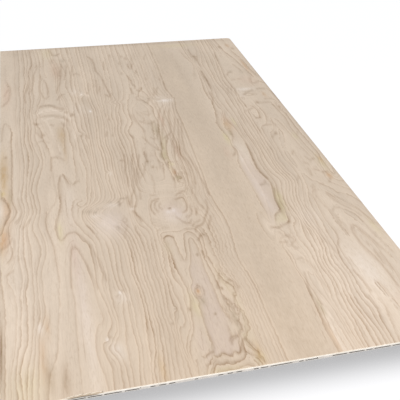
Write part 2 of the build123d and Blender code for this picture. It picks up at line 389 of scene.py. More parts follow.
     (460, 1960), (466, 2020), (457, 2090), (462, 2250), (468, 2440)),
    (-4, (438, 0), (441, 50), (443, 100), (444, 150), (445, 200), (444, 250), (447, 300), (452, 350),
     (456, 400), (448, 440), (452, 520), (455, 600), (459, 640), (453, 673), (443, 687), (433, 710),
     (428, 745), (427, 790), (434, 850), (436, 900), (434, 950), (439, 1000), (443, 1100), (450, 1200),
     (445, 1300), (445, 1400), (455, 1480), (452, 1550), (460, 1620), (468, 1700), (474, 1760), (470, 1800),
     (467, 1850), (474, 1920), (478, 2000), (484, 2100), (482, 2250), (488, 2440)),
    (-5, (450, 0), (452, 50), (449, 100), (448, 140), (452, 190), (459, 250), (463, 300), (462, 350),
     (468, 400), (462, 440), (465, 520), (467, 600), (470, 640), (469, 665), (460, 690), (452, 715),
     (444, 745), (433, 770), (430, 800), (440, 830), (448, 860), (450, 900), (446, 950), (450, 1000),
     (455, 1100), (464, 1200), (459, 1300), (457, 1400), (468, 1490), (468, 1560), (476, 1620), (492, 1680)),
    (-5, (484, 1780), (490, 1850), (492, 1900), (498, 2000), (502, 2100), (506, 2440)),
    (-6, (459, 0), (459, 60), (454, 100), (454, 140), (456, 168), (460, 186), (470, 192), (479, 202),
     (481, 225), (480, 260), (480, 300), (474, 350), (475, 400), (470, 440), (476, 500), (482, 560),
     (480, 600), (480, 640), (490, 660), (520, 667), (550, 664), (580, 672), (600, 672), (622, 658),
     (634, 630), (638, 600), (637, 550), (635, 500), (638, 450), (637, 400), (641, 380), (650, 360),
     (656, 335), (659, 305), (656, 250), (655, 187), (653, 100), (652, 0)),
    (-7, (462, 0), (464, 40), (462, 75), (461, 95), (466, 115), (469, 130), (474, 147), (481, 160),
     (489, 180), (494, 215), (495, 250), (497, 290), (500, 320), (502, 350), (500, 365), (493, 385),
     (487, 400), (488, 440), (490, 480), (496, 530), (492, 570), (488, 610), (492, 636), (505, 646),
     (530, 650), (555, 648), (585, 656), (605, 648), (615, 622), (620, 600), (618, 570), (613, 540),
     (612, 500), (613, 450), (618, 420), (622, 390), (630, 362), (640, 347), (648, 333), (653, 317),
     (651, 303), (643, 293), (638, 277), (637, 257), (640, 235), (646, 212), (649, 187), (647, 167),
     (642, 143), (637, 133), (627, 120), (617, 107), (625, 90), (630, 70), (637, 50), (643, 27), (647, 0)),
    (-8, (466, 0), (467, 30), (466, 60), (465, 85), (469, 108), (474, 128), (480, 145), (488, 160),
     (494, 180), (499, 210), (502, 240), (507, 265), (512, 290), (515, 320), (514, 350), (508, 400),
     (503, 440), (500, 480), (503, 520), (499, 570), (497, 608), (503, 623), (513, 627), (523, 621),
     (528, 605), (531, 560), (534, 510), (540, 482), (548, 500), (552, 540), (558, 580), (562, 612),
     (570, 630), (585, 634), (597, 618), (603, 597), (607, 575), (606, 540), (602, 505), (600, 470),
     (604, 430), (606, 390), (608, 350), (607, 320), (610, 295), (614, 277), (620, 257), (621, 245),
     (614, 230), (613, 213), (619, 187), (622, 167), (623, 145), (617, 125), (610, 107), (606, 90), (606, 72),
     (613, 53), (623, 40), (633, 27), (640, 0)),
    # The heart of the valley: pale wood between two lines, over the ragged crown at the near edge
    (-9, (470, 0), (472, 30), (477, 50), (482, 58), (490, 70), (500, 65), (507, 67), (513, 72), (522, 75),
     (527, 87), (530, 103), (528, 153), (530, 203), (530, 260), (533, 293), (535, 350), (537, 400),
     (542, 440), (550, 460), (560, 500), (568, 550), (573, 585), (580, 598), (588, 585), (592, 540),
     (590, 480), (588, 400), (592, 330), (590, 280), (592, 240), (597, 213), (602, 190), (600, 160),
     (592, 138), (588, 121), (600, 118), (605, 104), (603, 82), (597, 63), (588, 57), (580, 67), (573, 53),
     (565, 50), (557, 57), (552, 67), (547, 63), (537, 58), (530, 53), (520, 50), (513, 40), (507, 30),
     (497, 27), (492, 0)),
    (-9.7, (560, 90), (562, 150), (560, 230), (572, 330), (565, 420), (575, 520)),
    (-8.4, (500, 95), (505, 150), (514, 200), (518, 260)),
    (-8, (506, 0), (512, 12), (517, 27), (527, 33), (540, 23), (550, 27), (563, 20), (577, 23), (590, 30),
     (602, 36), (612, 30), (622, 18), (628, 0)),
    (-7, (528, 0), (545, 8), (565, 5), (590, 12), (608, 8), (615, 0)),
    (-8, (628, 208), (635, 220), (634, 238), (628, 245), (622, 236), (622, 220), (628, 208)),
    (-10, (543, 303), (552, 312), (556, 330), (552, 344), (543, 349), (534, 343), (531, 330), (535, 312),
     (543, 303)),
    (-11, (543, 318), (547, 330), (543, 340), (540, 330), (543, 318)),
    # The large knot, and the lines round it
    (-6, (476, 700), (477, 740), (480, 780), (483, 810), (488, 835), (496, 858), (506, 876), (518, 880),
     (535, 884), (560, 888), (585, 885), (600, 874), (612, 880), (624, 883), (629, 868), (632, 838),
     (632, 800), (628, 772), (621, 753), (616, 733), (608, 722), (599, 712), (600, 692), (592, 682),
     (580, 684), (566, 672), (548, 668), (530, 674), (520, 668), (510, 677), (498, 683), (484, 687),
     (476, 700)),
    (-7, (489, 797), (490, 812), (494, 828), (501, 843), (512, 850), (530, 856), (555, 858), (578, 850),
     (596, 844), (606, 848), (612, 838), (614, 803), (611, 780), (606, 763), (597, 750), (588, 738),
     (580, 720), (572, 704), (562, 712), (548, 716), (530, 716), (512, 722), (500, 738), (492, 762),
     (489, 797)),
    (-6, (476, 1100), (466, 1000), (464, 950), (470, 922), (488, 905), (505, 912), (520, 898), (531, 905),
     (560, 902), (590, 893), (600, 900), (618, 893), (632, 905), (642, 940), (645, 975), (641, 1005),
     (648, 1022), (640, 1040), (642, 1060), (649, 1075), (643, 1100), (638, 1122), (648, 1140), (647, 1165),
     (652, 1190), (658, 1220), (663, 1245), (660, 1285), (659, 1320), (661, 1400), (664, 1500), (666, 1570)),
    (-6, (476, 1100), (475, 1200), (475, 1300), (470, 1400), (484, 1500), (486, 1600), (500, 1660)),
    (-7, (480, 1000), (480, 950), (490, 928), (510, 930), (524, 915), (540, 922), (570, 918), (592, 910),
     (606, 912), (624, 915), (634, 945), (637, 970), (635, 992), (626, 1005), (620, 1003), (625, 1020),
     (626, 1042), (621, 1062), (613, 1070), (616, 1088), (627, 1096), (630, 1110), (618, 1128), (616, 1150),
     (620, 1180), (623, 1210), (628, 1240), (634, 1265), (642, 1290), (649, 1322), (650, 1350), (648, 1400),
     (650, 1480), (654, 1560)),
    (-7, (480, 1000), (482, 1100), (486, 1200), (492, 1300), (484, 1400), (511, 1500), (508, 1600),
     (515, 1680)),
    (-8, (500, 1000), (502, 965), (515, 945), (527, 948), (545, 945), (575, 950), (590, 940), (602, 940),
     (608, 965), (605, 990), (603, 1015), (599, 1040), (601, 1060), (608, 1070), (601, 1085), (599, 1100),
     (607, 1108), (613, 1118), (607, 1128), (594, 1136), (589, 1152), (592, 1170), (599, 1190), (606, 1215),
     (612, 1250), (616, 1290), (620, 1320), (624, 1360), (632, 1420), (637, 1480), (632, 1550), (640, 1600)),
    (-8, (500, 1000), (493, 1100), (500, 1200), (504, 1280), (507, 1340), (498, 1400), (524, 1470),
     (530, 1500), (527, 1550), (530, 1620), (545, 1700), (560, 1780)),
    (-9, (532, 1000), (520, 1050), (511, 1100), (532, 1130), (530, 1200), (545, 1260), (555, 1300),
     (559, 1350), (561, 1400), (548, 1500), (543, 1550), (550, 1620), (580, 1670)),
    (-9, (532, 1000), (528, 975), (535, 965), (560, 975), (575, 990), (578, 1050), (590, 1100), (592, 1150),
     (592, 1250), (588, 1290), (598, 1340), (602, 1400), (609, 1455), (605, 1530), (615, 1580), (610, 1640),
     (590, 1665), (580, 1670)),
    (-10, (543, 1050), (548, 1090), (560, 1060), (553, 1030), (543, 1050)),
    (-10, (568, 1440), (580, 1480), (586, 1500), (582, 1560), (568, 1590), (557, 1550), (560, 1480),
     (568, 1440)),
    # Right of the valley, out to the plain band
    (-5, (656, 0), (655, 100), (658, 187), (662, 250), (664, 300), (660, 345), (655, 375), (650, 400),
     (645, 450), (648, 500), (652, 550), (653, 600), (653, 650), (655, 690), (640, 735), (632, 760),
     (626, 800), (632, 850), (640, 900), (652, 950), (657, 990), (660, 1020), (664, 1050), (659, 1085),
     (664, 1120), (660, 1150), (660, 1170), (664, 1195), (668, 1220), (673, 1250), (674, 1290), (673, 1340),
     (676, 1400), (679, 1500), (684, 1600), (692, 1655)),
    (-4, (663, 0), (662, 100), (668, 200), (671, 300), (668, 340), (661, 400), (658, 450), (655, 500),
     (662, 550), (664, 600), (664, 650), (664, 700), (655, 740), (645, 775), (641, 810), (645, 850),
     (657, 900), (666, 950), (673, 985), (675, 1010), (677, 1040), (678, 1070), (676, 1110), (672, 1140),
     (669, 1170), (672, 1190), (677, 1220), (682, 1250), (684, 1290), (684, 1330), (687, 1400), (689, 1500),
     (694, 1600), (701, 1662)),
    (-3, (672, 0), (675, 100), (678, 200), (678, 300), (672, 400), (667, 450), (665, 500), (676, 550),
     (678, 600), (676, 650), (673, 700), (670, 750), (664, 775), (657, 805), (658, 850), (668, 900),
     (678, 950), (684, 1000), (687, 1050), (686, 1100), (682, 1150), (685, 1200), (692, 1250), (696, 1300),
     (697, 1400), (699, 1500), (704, 1600), (711, 1660)),
    (-2, (684, 0), (688, 100), (688, 200), (693, 300), (686, 400), (677, 450), (677, 500), (686, 550),
     (690, 600), (690, 650), (688, 700), (684, 750), (677, 800), (673, 850), (682, 900), (690, 950),
     (696, 1000), (698, 1050), (698, 1100), (698, 1200), (705, 1300), (706, 1400), (709, 1500), (714, 1600),
     (722, 1655)),
    (-1, (695, 0), (697, 100), (697, 200), (703, 300), (697, 400), (690, 450), (690, 500), (698, 550),
     (701, 600), (704, 650), (704, 700), (697, 750), (695, 800), (690, 850), (696, 900), (702, 950),
     (706, 1000), (708, 1050), (709, 1100), (711, 1200), (716, 1300), (719, 1400), (721, 1500), (726, 1600),
     (734, 1650)),
    (0, (705, 0), (707, 100), (708, 200), (712, 300), (706, 400), (702, 450), (704, 500), (710, 550),
     (717, 600), (718, 650), (720, 700), (713, 750), (712, 800), (708, 860), (712, 920), (714, 960),
     (717, 1000), (719, 1050), (721, 1100), (725, 1200), (730, 1300), (733, 1400), (736, 1480), (735, 1550),
     (739, 1600), (746, 1640), (752, 1700), (742, 1760), (738, 1830), (742, 1900), (745, 2000), (750, 2100),
     (752, 2250), (756, 2440)),
    (-1, (732, 1740), (722, 1830), (728, 1900), (730, 2000), (736, 2100), (738, 2250), (742, 2440)),
    (-3, (700, 1745), (686, 1800), (690, 1900), (695, 2000), (700, 2150), (702, 2440)),
    (-5, (668, 1745), (662, 1800), (664, 1900), (666, 2000), (672, 2150), (676, 2440)),
    (-7, (640, 1745), (632, 1790), (623, 1832), (636, 1900), (636, 2000), (640, 2080), (640, 2200),
     (645, 2440)),
    (-8, (618, 1680), (610, 1700), (596, 1740), (604, 1770), (609, 1810), (618, 1850), (625, 1940),
     (622, 2050), (624, 2150), (620, 2250), (622, 2440)),
    (-8, (560, 1780), (575, 1800), (572, 1860), (584, 1950), (582, 2000), (570, 2100), (575, 2200),
     (578, 2440)),
    (-9, (590, 1760), (594, 1800), (595, 1850), (586, 1900), (590, 1950), (600, 2060), (608, 2100),
     (600, 2200), (600, 2440)),
    (-6.5, (520, 1760), (530, 1850), (532, 2000), (535, 2200), (538, 2440)),
    (0.7, (780, 0), (780, 300), (785, 600), (790, 900), (790, 1200), (800, 1500), (815, 1800), (825, 2100),
     (830, 2440)),
    # The nested fingers right of the plain band
    (0, (847, 0), (843, 87), (847, 120), (852, 153), (853, 187), (855, 220), (857, 253), (860, 287),
     (862, 320), (860, 360), (858, 390), (862, 430), (856, 470), (862, 520), (866, 560), (857, 598),
     (864, 640), (866, 700), (866, 760), (868, 820), (868, 900), (868, 1000), (870, 1060), (882, 1100),
     (893, 1150), (884, 1200), (891, 1240), (884, 1300), (878, 1350), (874, 1400), (886, 1450), (895, 1500),
     (902, 1550), (907, 1600), (911, 1650), (905, 1700), (909, 1750), (909, 1800), (918, 1850), (923, 1900),
     (926, 1950), (932, 2000), (936, 2050), (938, 2120), (930, 2200), (928, 2300), (930, 2440)),
    (-1, (855, 0), (856, 53), (859, 120), (862, 153), (867, 185), (872, 213), (877, 185), (876, 147),
     (879, 127), (884, 103), (887, 70), (888, 0)),
    (-1, (866, 335), (863, 365), (863, 390), (868, 408), (877, 413), (889, 407), (898, 390), (903, 355)),
    (-2, (896, 0), (897, 80), (899, 150), (896, 195), (891, 225), (885, 260), (883, 290), (884, 325),
     (889, 345), (896, 362), (905, 390), (908, 420), (900, 440), (890, 462), (880, 484), (868, 488),
     (872, 506), (888, 512), (892, 540), (886, 566), (883, 586), (866, 591), (857, 599), (871, 606),
     (880, 618), (882, 635), (886, 652), (893, 670), (901, 680), (911, 684), (918, 694), (921, 712),
     (921, 735), (923, 760), (926, 785), (930, 810), (936, 832), (941, 855), (944, 880), (942, 905),
     (938, 930), (933, 950), (930, 980), (928, 1010), (930, 1045), (934, 1080), (938, 1115), (941, 1150),
     (945, 1200), (944, 1250), (943, 1300), (939, 1350), (930, 1400), (927, 1450), (932, 1500), (940, 1550),
     (934, 1600), (932, 1650), (932, 1700), (938, 1750), (943, 1800), (945, 1850), (950, 1900), (952, 1950),
     (950, 2000), (948, 2060), (941, 2100), (952, 2160), (955, 2200), (950, 2250), (950, 2300), (957, 2360),
     (955, 2440)),
    (-1, (896, 1040), (900, 1100), (898, 1150), (892, 1200), (895, 1230), (906, 1270), (912, 1305),
     (905, 1340), (899, 1365), (908, 1400), (917, 1435), (923, 1465), (928, 1500), (935, 1525), (925, 1538)),
    (-3, (905, 0), (903, 80), (905, 150), (903, 200), (905, 260), (909, 300), (906, 350), (916, 400),
     (916, 440), (910, 480), (906, 530), (912, 558), (908, 578), (896, 592), (887, 603), (896, 608),
     (910, 610), (922, 622), (930, 640), (930, 660), (934, 680), (938, 700), (936, 722), (937, 748),
     (942, 780), (948, 812), (956, 845), (962, 885), (959, 915), (955, 960), (953, 1000), (952, 1050),
     (957, 1100), (959, 1150), (959, 1200), (957, 1250), (955, 1300), (957, 1350), (957, 1400), (959, 1450),
     (957, 1500), (952, 1550), (950, 1600), (945, 1650), (950, 1700), (956, 1760), (962, 1850), (964, 1950),
     (962, 2030), (959, 2080), (966, 2150), (973, 2200), (982, 2250), (991, 2300), (995, 2360), (1000, 2440)),
    (-4, (912, 0), (910, 50), (912, 100), (911, 150), (912, 200), (921, 250), (924, 300), (926, 350),
     (930, 400), (932, 450), (924, 500), (926, 550), (930, 580), (932, 598), (946, 615), (951, 640),
     (947, 670), (951, 700), (950, 732), (956, 765), (964, 800), (974, 845), (985, 885), (978, 920),
     (968, 960), (965, 1000), (966, 1050), (972, 1100), (976, 1150), (974, 1250), (972, 1300), (976, 1400),
     (978, 1500), (975, 1600), (977, 1650), (977, 1700), (972, 1800), (978, 1900), (978, 2000), (975, 2080),
     (988, 2150), (1000, 2220), (1010, 2300), (1015, 2440)),
    (-5, (920, 0), (921, 50), (928, 100), (926, 150), (925, 200), (938, 250), (943, 300), (937, 350),
     (942, 400), (950, 450), (950, 500), (950, 550), (962, 600), (966, 640), (963, 690), (962, 740),
     (974, 790), (985, 825), (997, 860), (1004, 900), (990, 950), (984, 1000), (984, 1060), (990, 1150),
     (992, 1250), (992, 1350), (996, 1450), (1000, 1550), (1000, 1650), (1000, 1750), (990, 1850),
     (995, 1950), (1000, 2050), (1010, 2150), (1022, 2300), (1030, 2440)),
    (-6, (931, 0), (933, 50), (938, 100), (938, 150), (943, 200), (947, 250), (953, 300), (950, 350),
     (952, 400), (966, 450), (968, 500), (971, 550), (972, 600), (974, 650), (975, 700), (980, 750),
     (988, 800), (1003, 840), (1014, 890), (1004, 950), (1002, 1000), (1002, 1050), (1004, 1100),
     (1004, 1200), (1008, 1300), (1010, 1400), (1014, 1500), (1018, 1600), (1020, 1700), (1010, 1800),
     (1012, 1900), (1020, 2000), (1028, 2100), (1040, 2250), (1050, 2440)),
    (-7, (953, 0), (955, 50), (958, 100), (953, 150), (955, 200), (960, 250), (967, 300), (959, 350),
     (962, 400), (978, 450), (983, 500), (986, 550), (981, 600), (982, 650), (985, 700), (990, 750),
     (1002, 800), (1018, 850), (1025, 900), (1014, 950), (1012, 1000), (1012, 1050), (1014, 1100),
     (1018, 1200), (1023, 1300), (1025, 1400), (1026, 1500), (1034, 1550), (1032, 1620), (1040, 1700),
     (1026, 1800), (1026, 1900), (1034, 1960), (1045, 2050), (1058, 2150), (1064, 2250), (1072, 2440)),
    (-8, (966, 0), (971, 50), (971, 100), (967, 150), (966, 200), (970, 250), (979, 300), (973, 350),
     (976, 400), (987, 450), (993, 500), (996, 550), (990, 600), (990, 650), (996, 700), (1002, 750),
     (1014, 800), (1031, 850), (1036, 900), (1026, 950), (1022, 1000), (1020, 1050), (1030, 1100),
     (1030, 1200), (1036, 1300), (1036, 1400), (1044, 1480), (1048, 1520), (1056, 1545), (1068, 1552),
     (1082, 1530), (1086, 1480), (1076, 1440), (1068, 1424), (1060, 1440), (1056, 1470)),
    (-9, (982, 0), (986, 50), (983, 100), (978, 150), (978, 200), (984, 250), (992, 300), (988, 350),
     (988, 400), (1000, 450), (1002, 500), (1003, 550), (1003, 600), (1004, 650), (1008, 700), (1012, 750),
     (1024, 800), (1041, 850), (1048, 900), (1038, 950), (1036, 1000), (1032, 1050), (1042, 1100),
     (1046, 1200), (1048, 1300), (1060, 1350), (1080, 1360), (1096, 1400), (1108, 1450), (1106, 1500),
     (1100, 1560)),
    (-10, (994, 0), (998, 50), (998, 100), (1001, 150), (994, 200), (998, 250), (1005, 300), (1004, 350),
     (1002, 400), (1010, 450), (1012, 500), (1014, 550), (1013, 600), (1017, 650), (1014, 690), (1024, 740),
     (1042, 800), (1056, 850), (1064, 900), (1064, 950), (1062, 1000), (1055, 1050), (1058, 1100),
     (1064, 1200), (1075, 1280), (1095, 1300), (1112, 1350), (1116, 1400)),
    (-11, (1007, 0), (1010, 50), (1012, 100), (1022, 150), (1010, 200), (1012, 250), (1017, 300), (1015, 350),
     (1015, 400), (1026, 450), (1026, 500), (1028, 550), (1036, 600), (1034, 650), (1036, 690), (1048, 760),
     (1063, 800), (1072, 850), (1078, 900), (1080, 950), (1076, 1000), (1072, 1060), (1080, 1120),
     (1090, 1200), (1105, 1250), (1118, 1300)),
    (-12, (1022, 0), (1030, 50), (1040, 100), (1048, 150), (1028, 200), (1036, 250), (1028, 300), (1033, 350),
     (1030, 400), (1033, 450), (1052, 500), (1053, 550), (1050, 600), (1052, 650), (1060, 700), (1063, 750),
     (1072, 790), (1095, 800), (1115, 795), (1126, 775), (1133, 750), (1142, 720), (1152, 698), (1165, 680),
     (1187, 650), (1194, 620), (1205, 580), (1220, 540)),
    # The big arches beside the right edge
    (-13, (1092, 500), (1091, 550), (1083, 600), (1085, 640), (1095, 670), (1110, 688), (1125, 680),
     (1140, 662), (1155, 640), (1168, 610), (1170, 570), (1178, 520), (1184, 480), (1187, 440), (1180, 400),
     (1177, 350)),
    (-12.6, (1085, 200), (1080, 280), (1072, 350), (1075, 430)),
    (-13, (1072, 262), (1078, 252), (1080, 225), (1082, 193), (1086, 170)),
    (-12, (1131, 240), (1131, 300), (1128, 350), (1120, 400), (1113, 450), (1112, 500), (1120, 540),
     (1128, 560), (1134, 545), (1140, 520), (1145, 495), (1150, 450), (1156, 420), (1152, 380), (1153, 330),
     (1152, 290)),
    (-11, (1137, 330), (1140, 400), (1133, 450), (1131, 470), (1134, 440), (1137, 330)),
    (-11, (1117, 860), (1126, 840), (1140, 820), (1153, 800), (1160, 770), (1180, 755), (1200, 740),
     (1220, 690)),
    (-10, (1136, 900), (1150, 880), (1164, 850), (1176, 830), (1200, 800), (1220, 770)),
    (-11, (1150, 960), (1160, 945), (1152, 930), (1142, 940), (1150, 960)),
    (-10, (1111, 940), (1114, 900), (1112, 970), (1118, 1000), (1124, 1040), (1118, 1095), (1112, 1060)),
    (-9, (1177, 950), (1184, 1000), (1191, 1050), (1184, 1100), (1180, 1200), (1176, 1300), (1186, 1400),
     (1180, 1500), (1176, 1560)),
    (-8, (1200, 900), (1200, 1000), (1206, 1100), (1200, 1300), (1204, 1450), (1196, 1560)),
    (-9, (1118, 1600), (1140, 1612), (1165, 1618), (1190, 1600), (1210, 1560)),
    (-9, (1060, 1620), (1056, 1680), (1075, 1730), (1105, 1742), (1140, 1735), (1175, 1742), (1205, 1738)),
    (-9, (1064, 1925), (1073, 1955), (1086, 1975), (1100, 1958), (1090, 1930)),
    (-9, (1090, 1800), (1085, 1850), (1100, 1870), (1112, 1860), (1125, 1900), (1152, 1930), (1150, 1975),
     (1141, 2010), (1127, 2055), (1110, 2100), (1100, 2200), (1096, 2440)),
    (-8, (1160, 1810), (1170, 1835), (1190, 1840), (1180, 1960), (1170, 2050), (1160, 2150), (1140, 2250),
     (1135, 2330), (1130, 2440)),
    (-8, (1064, 2100), (1068, 2150), (1073, 2200), (1085, 2300), (1088, 2440)),
    (-7, (1210, 1900), (1200, 2000), (1196, 2150), (1180, 2250), (1176, 2440)),
    # Beyond the whorl at the left
    (11, (150, 1640), (175, 1668), (200, 1676), (230, 1680), (256, 1668), (262, 1640), (250, 1600),
     (225, 1588), (200, 1590), (186, 1560), (190, 1480), (205, 1430), (212, 1350), (216, 1270), (225, 1240),
     (234, 1270), (240, 1340), (244, 1430), (246, 1500), (256, 1530), (250, 1560), (228, 1530), (205, 1520),
     (196, 1540)),
    (11, (160, 1700), (180, 1712), (205, 1716), (235, 1708), (248, 1740), (248, 1800), (240, 1900),
     (246, 2000), (248, 2100), (236, 2200), (225, 2300), (222, 2440)),
    (11, (188, 2018), (200, 1980), (206, 1920), (204, 1850), (191, 1800), (176, 1850), (171, 1920),
     (176, 1990), (188, 2018)),
    (10.6, (188, 1950), (190, 1860)), (11, (205, 2060), (200, 2150), (205, 2300), (200, 2440)),
]

# Swellings of the trunk that lift the rings: place, half width, half length, and rings.
swellings = [
    (205, 1655, 50, 16, 1.4), (485, 1700, 40, 16, -1.2), (700, 1690, 34, 14, -1.8), (1100, 1680, 46, 18, 1.2),
    (325, 352, 14, 22, 0.8), (268, 180, 9, 16, 0.8), (262, 870, 12, 12, 0.9), (378, 728, 8, 10, 0.8),
    (380, 1075, 9, 12, 0.9), (434, 1155, 7, 12, 0.8), (445, 208, 5, 10, 0.7), (567, 220, 5, 9, 0.8),
    (465, 265, 5, 9, 0.7), (320, 1412, 12, 24, 0.9), (659, 1445, 7, 14, 0.8), (625, 960, 9, 14, 0.8),
    (350, 1800, 14, 14, 0.9), (370, 1635, 9, 14, 0.9),
]

GRAIN_RUN = 5.0             # a ring's course carries this much further along the grain than across
LINE_STEP = 10.0            # mm across the grain from one point of a line to the next
TURN_SOFTNESS = 4.0         # mm, how tightly the rings between two lines can turn
GIVE = 0.5                  # how far rings may stray from a drawn line to stay smooth
BATCHES = 120               # to spare memory


def squeezed(points):
    """Points with their distances along the grain shortened to match those across it."""
    return points / np.array([1, GRAIN_RUN])


def smooth_line(knots):
    """A smooth line through given points, divided into even steps."""
    knots = np.array(knots, float)
    reach = np.concatenate([[0], np.cumsum(np.hypot(*np.diff(squeezed(knots), axis=0).T))])
    spots = np.linspace(0, reach[-1], max(2, round(reach[-1] / LINE_STEP) + 1))
    span = np.clip(np.searchsorted(reach, spots, side="right") - 1, 0, len(knots) - 2)
    part = ((spots - reach[span]) / (reach[span + 1] - reach[span]))[:, None]
    padded = np.vstack([knots[:1], knots, knots[-1:]])
    before, start, end, after = (padded[span + step] for step in range(4))
    return 0.5 * (
        2 * start
        + (end - before) * part
        + (2 * before - 5 * start + 4 * end - after) * part**2
        + (3 * start - before - 3 * end + after) * part**3
    )


def reach_between(from_points, to_points):
    """The softened distance from each point to each of some others."""
    apart = np.zeros((len(from_points), len(to_points)))
    for axis in range(2):
        apart += (from_points[:, axis, None] - to_points[None, :, axis]) ** 2
    return np.sqrt(apart + TURN_SOFTNESS**2)


def ring_heights(places):
    """How many rings out from the heart the knife is at each place, from the lines drawn above."""
    courses = [smooth_line(course) for _, *course in growth_lines]
    known = squeezed(np.vstack(courses))
    rings = np.repeat([float(ring) for ring, *_ in growth_lines], [len(course) for course in courses])
    level = np.column_stack([np.ones(len(known)), known])
    system = np.block([[reach_between(known, known), level], [level.T, np.zeros((3, 3))]])
    system[:len(known), :len(known)] -= GIVE * np.eye(len(known))
    weights = np.linalg.solve(system, np.concatenate([rings, np.zeros(3)]))
    heights = []
    for some in np.array_split(squeezed(places), BATCHES):
        heights.append(reach_between(some, known) @ weights[:-3] + weights[-3] + some @ weights[-2:])
    return np.concatenate(heights)


def on_plan(x, y):
    """Where a place on the sheet lies on the plan, in mm. The plan was drawn before the camera was
    fitted for the last time, so it is a few mm out of square with the sheet."""
    across, along = (x - LEFT) / 1000, (y - NEAR) / 1000
    return (
        x - LEFT - 3.8 - 10.2 * across + 12.2 * across**2 + 0.7 * along - 0.8 * across * along,
        y - NEAR + 5.9 - 6.7 * across - 1.3 * along + 12.2 * across * along - 0.8 * along**2,
    )


def drawn_in(y, near_radius, far_radius):
    """How far a long side is drawn in at each y, where it rounds its two corners."""
    into_near = np.clip(NEAR + ARRIS + near_radius - y, 0, near_radius)
    into_far = np.clip(y - FAR + ARRIS + far_radius, 0, far_radius)
    return (
        near_radius - np.sqrt(near_radius**2 - into_near**2)
        + far_radius - np.sqrt(far_radius**2 - into_far**2)
    )


def broken_back(x):
    """How far the near edge is broken back at each x, splinter by splinter."""
    place = (x - LEFT - CHIP_START) / CHIP_LENGTH * len(SPLINTER_DEPTHS)
    splinter = np.clip(np.floor(place), 0, len(SPLINTER_DEPTHS) - 1).astype(int)
    depth = np.array(SPLINTER_DEPTHS)[splinter] - SPLINTER_SLANT * (1 - (place - splinter))
    return np.where((place >= 0) & (place <= len(SPLINTER_DEPTHS)), depth, 0)


# The grid of the face, with a few more rows where the corners turn, and two columns close
# together wherever one broken splinter ends and the next begins.
turn = np.array([0.0, 0.35, 0.7])
step = np.linspace(0, 1, ROWS - 2 * len(turn))
inner_near = NEAR + CORNER
inner_far = FAR - WORN_CORNER
rows = inner_near + (inner_far - inner_near) * (ROW_CROWDING * step + (1 - ROW_CROWDING) * step**2)
near_turn = NEAR + ARRIS + (CORNER - ARRIS) * (1 - np.cos(turn * np.pi / 2))
far_turn = FAR - ARRIS - (WORN_CORNER - ARRIS) * (1 - np.cos(turn[::-1] * np.pi / 2))
rows = np.concatenate([near_turn, rows, far_turn])
left_side = LEFT + ARRIS + drawn_in(rows, CORNER - ARRIS, CORNER - ARRIS)
right_side = RIGHT - ARRIS - drawn_in(rows, CORNER - ARRIS, WORN_CORNER - ARRIS)
share = np.linspace(0, 1, COLUMNS)
splits = (CHIP_START + CHIP_LENGTH * np.linspace(0, 1, len(SPLINTER_DEPTHS) + 1)) / WIDTH
share = share[np.abs(share[:, None] - splits[None, :]).min(axis=1) > SPLIT_ROOM / WIDTH]
share = np.sort(np.concatenate([share, splits - SPLIT / WIDTH, splits + SPLIT / WIDTH]))
columns = len(share)
grid_x = left_side[:, None] + (right_side - left_side)[:, None] * share[None, :]
flat_y = np.repeat(rows[:, None], columns, axis=1)
yielding = np.clip(1 - (flat_y - NEAR) / CHIP_GIVE, 0, 1) ** 2
grid_y = flat_y + broken_back(grid_x) * yielding

plan_x, plan_y = on_plan(grid_x, flat_y)


def patch(x, y, half_width, half_length):
    """A soft long patch of the face, placed on the plan."""
    across = (plan_x - x) / half_width
    along = (plan_y - y) / half_length
    return np.exp(-(across**2) - along**2)


# The rings and their spacing at each point of the grid.
ring_grid = ring_heights(np.column_stack([plan_x.ravel(), plan_y.ravel()])).reshape(grid_x.shape)
for *place, lift in swellings:
    ring_grid += lift * patch(*place)
climb_y, climb_x = np.gradient(ring_grid, rows, share * (WIDTH - 2 * ARRIS))
spacing_grid = np.clip(1 / np.maximum(np.hypot(climb_x, climb_y), 1e-4), *SPACING)

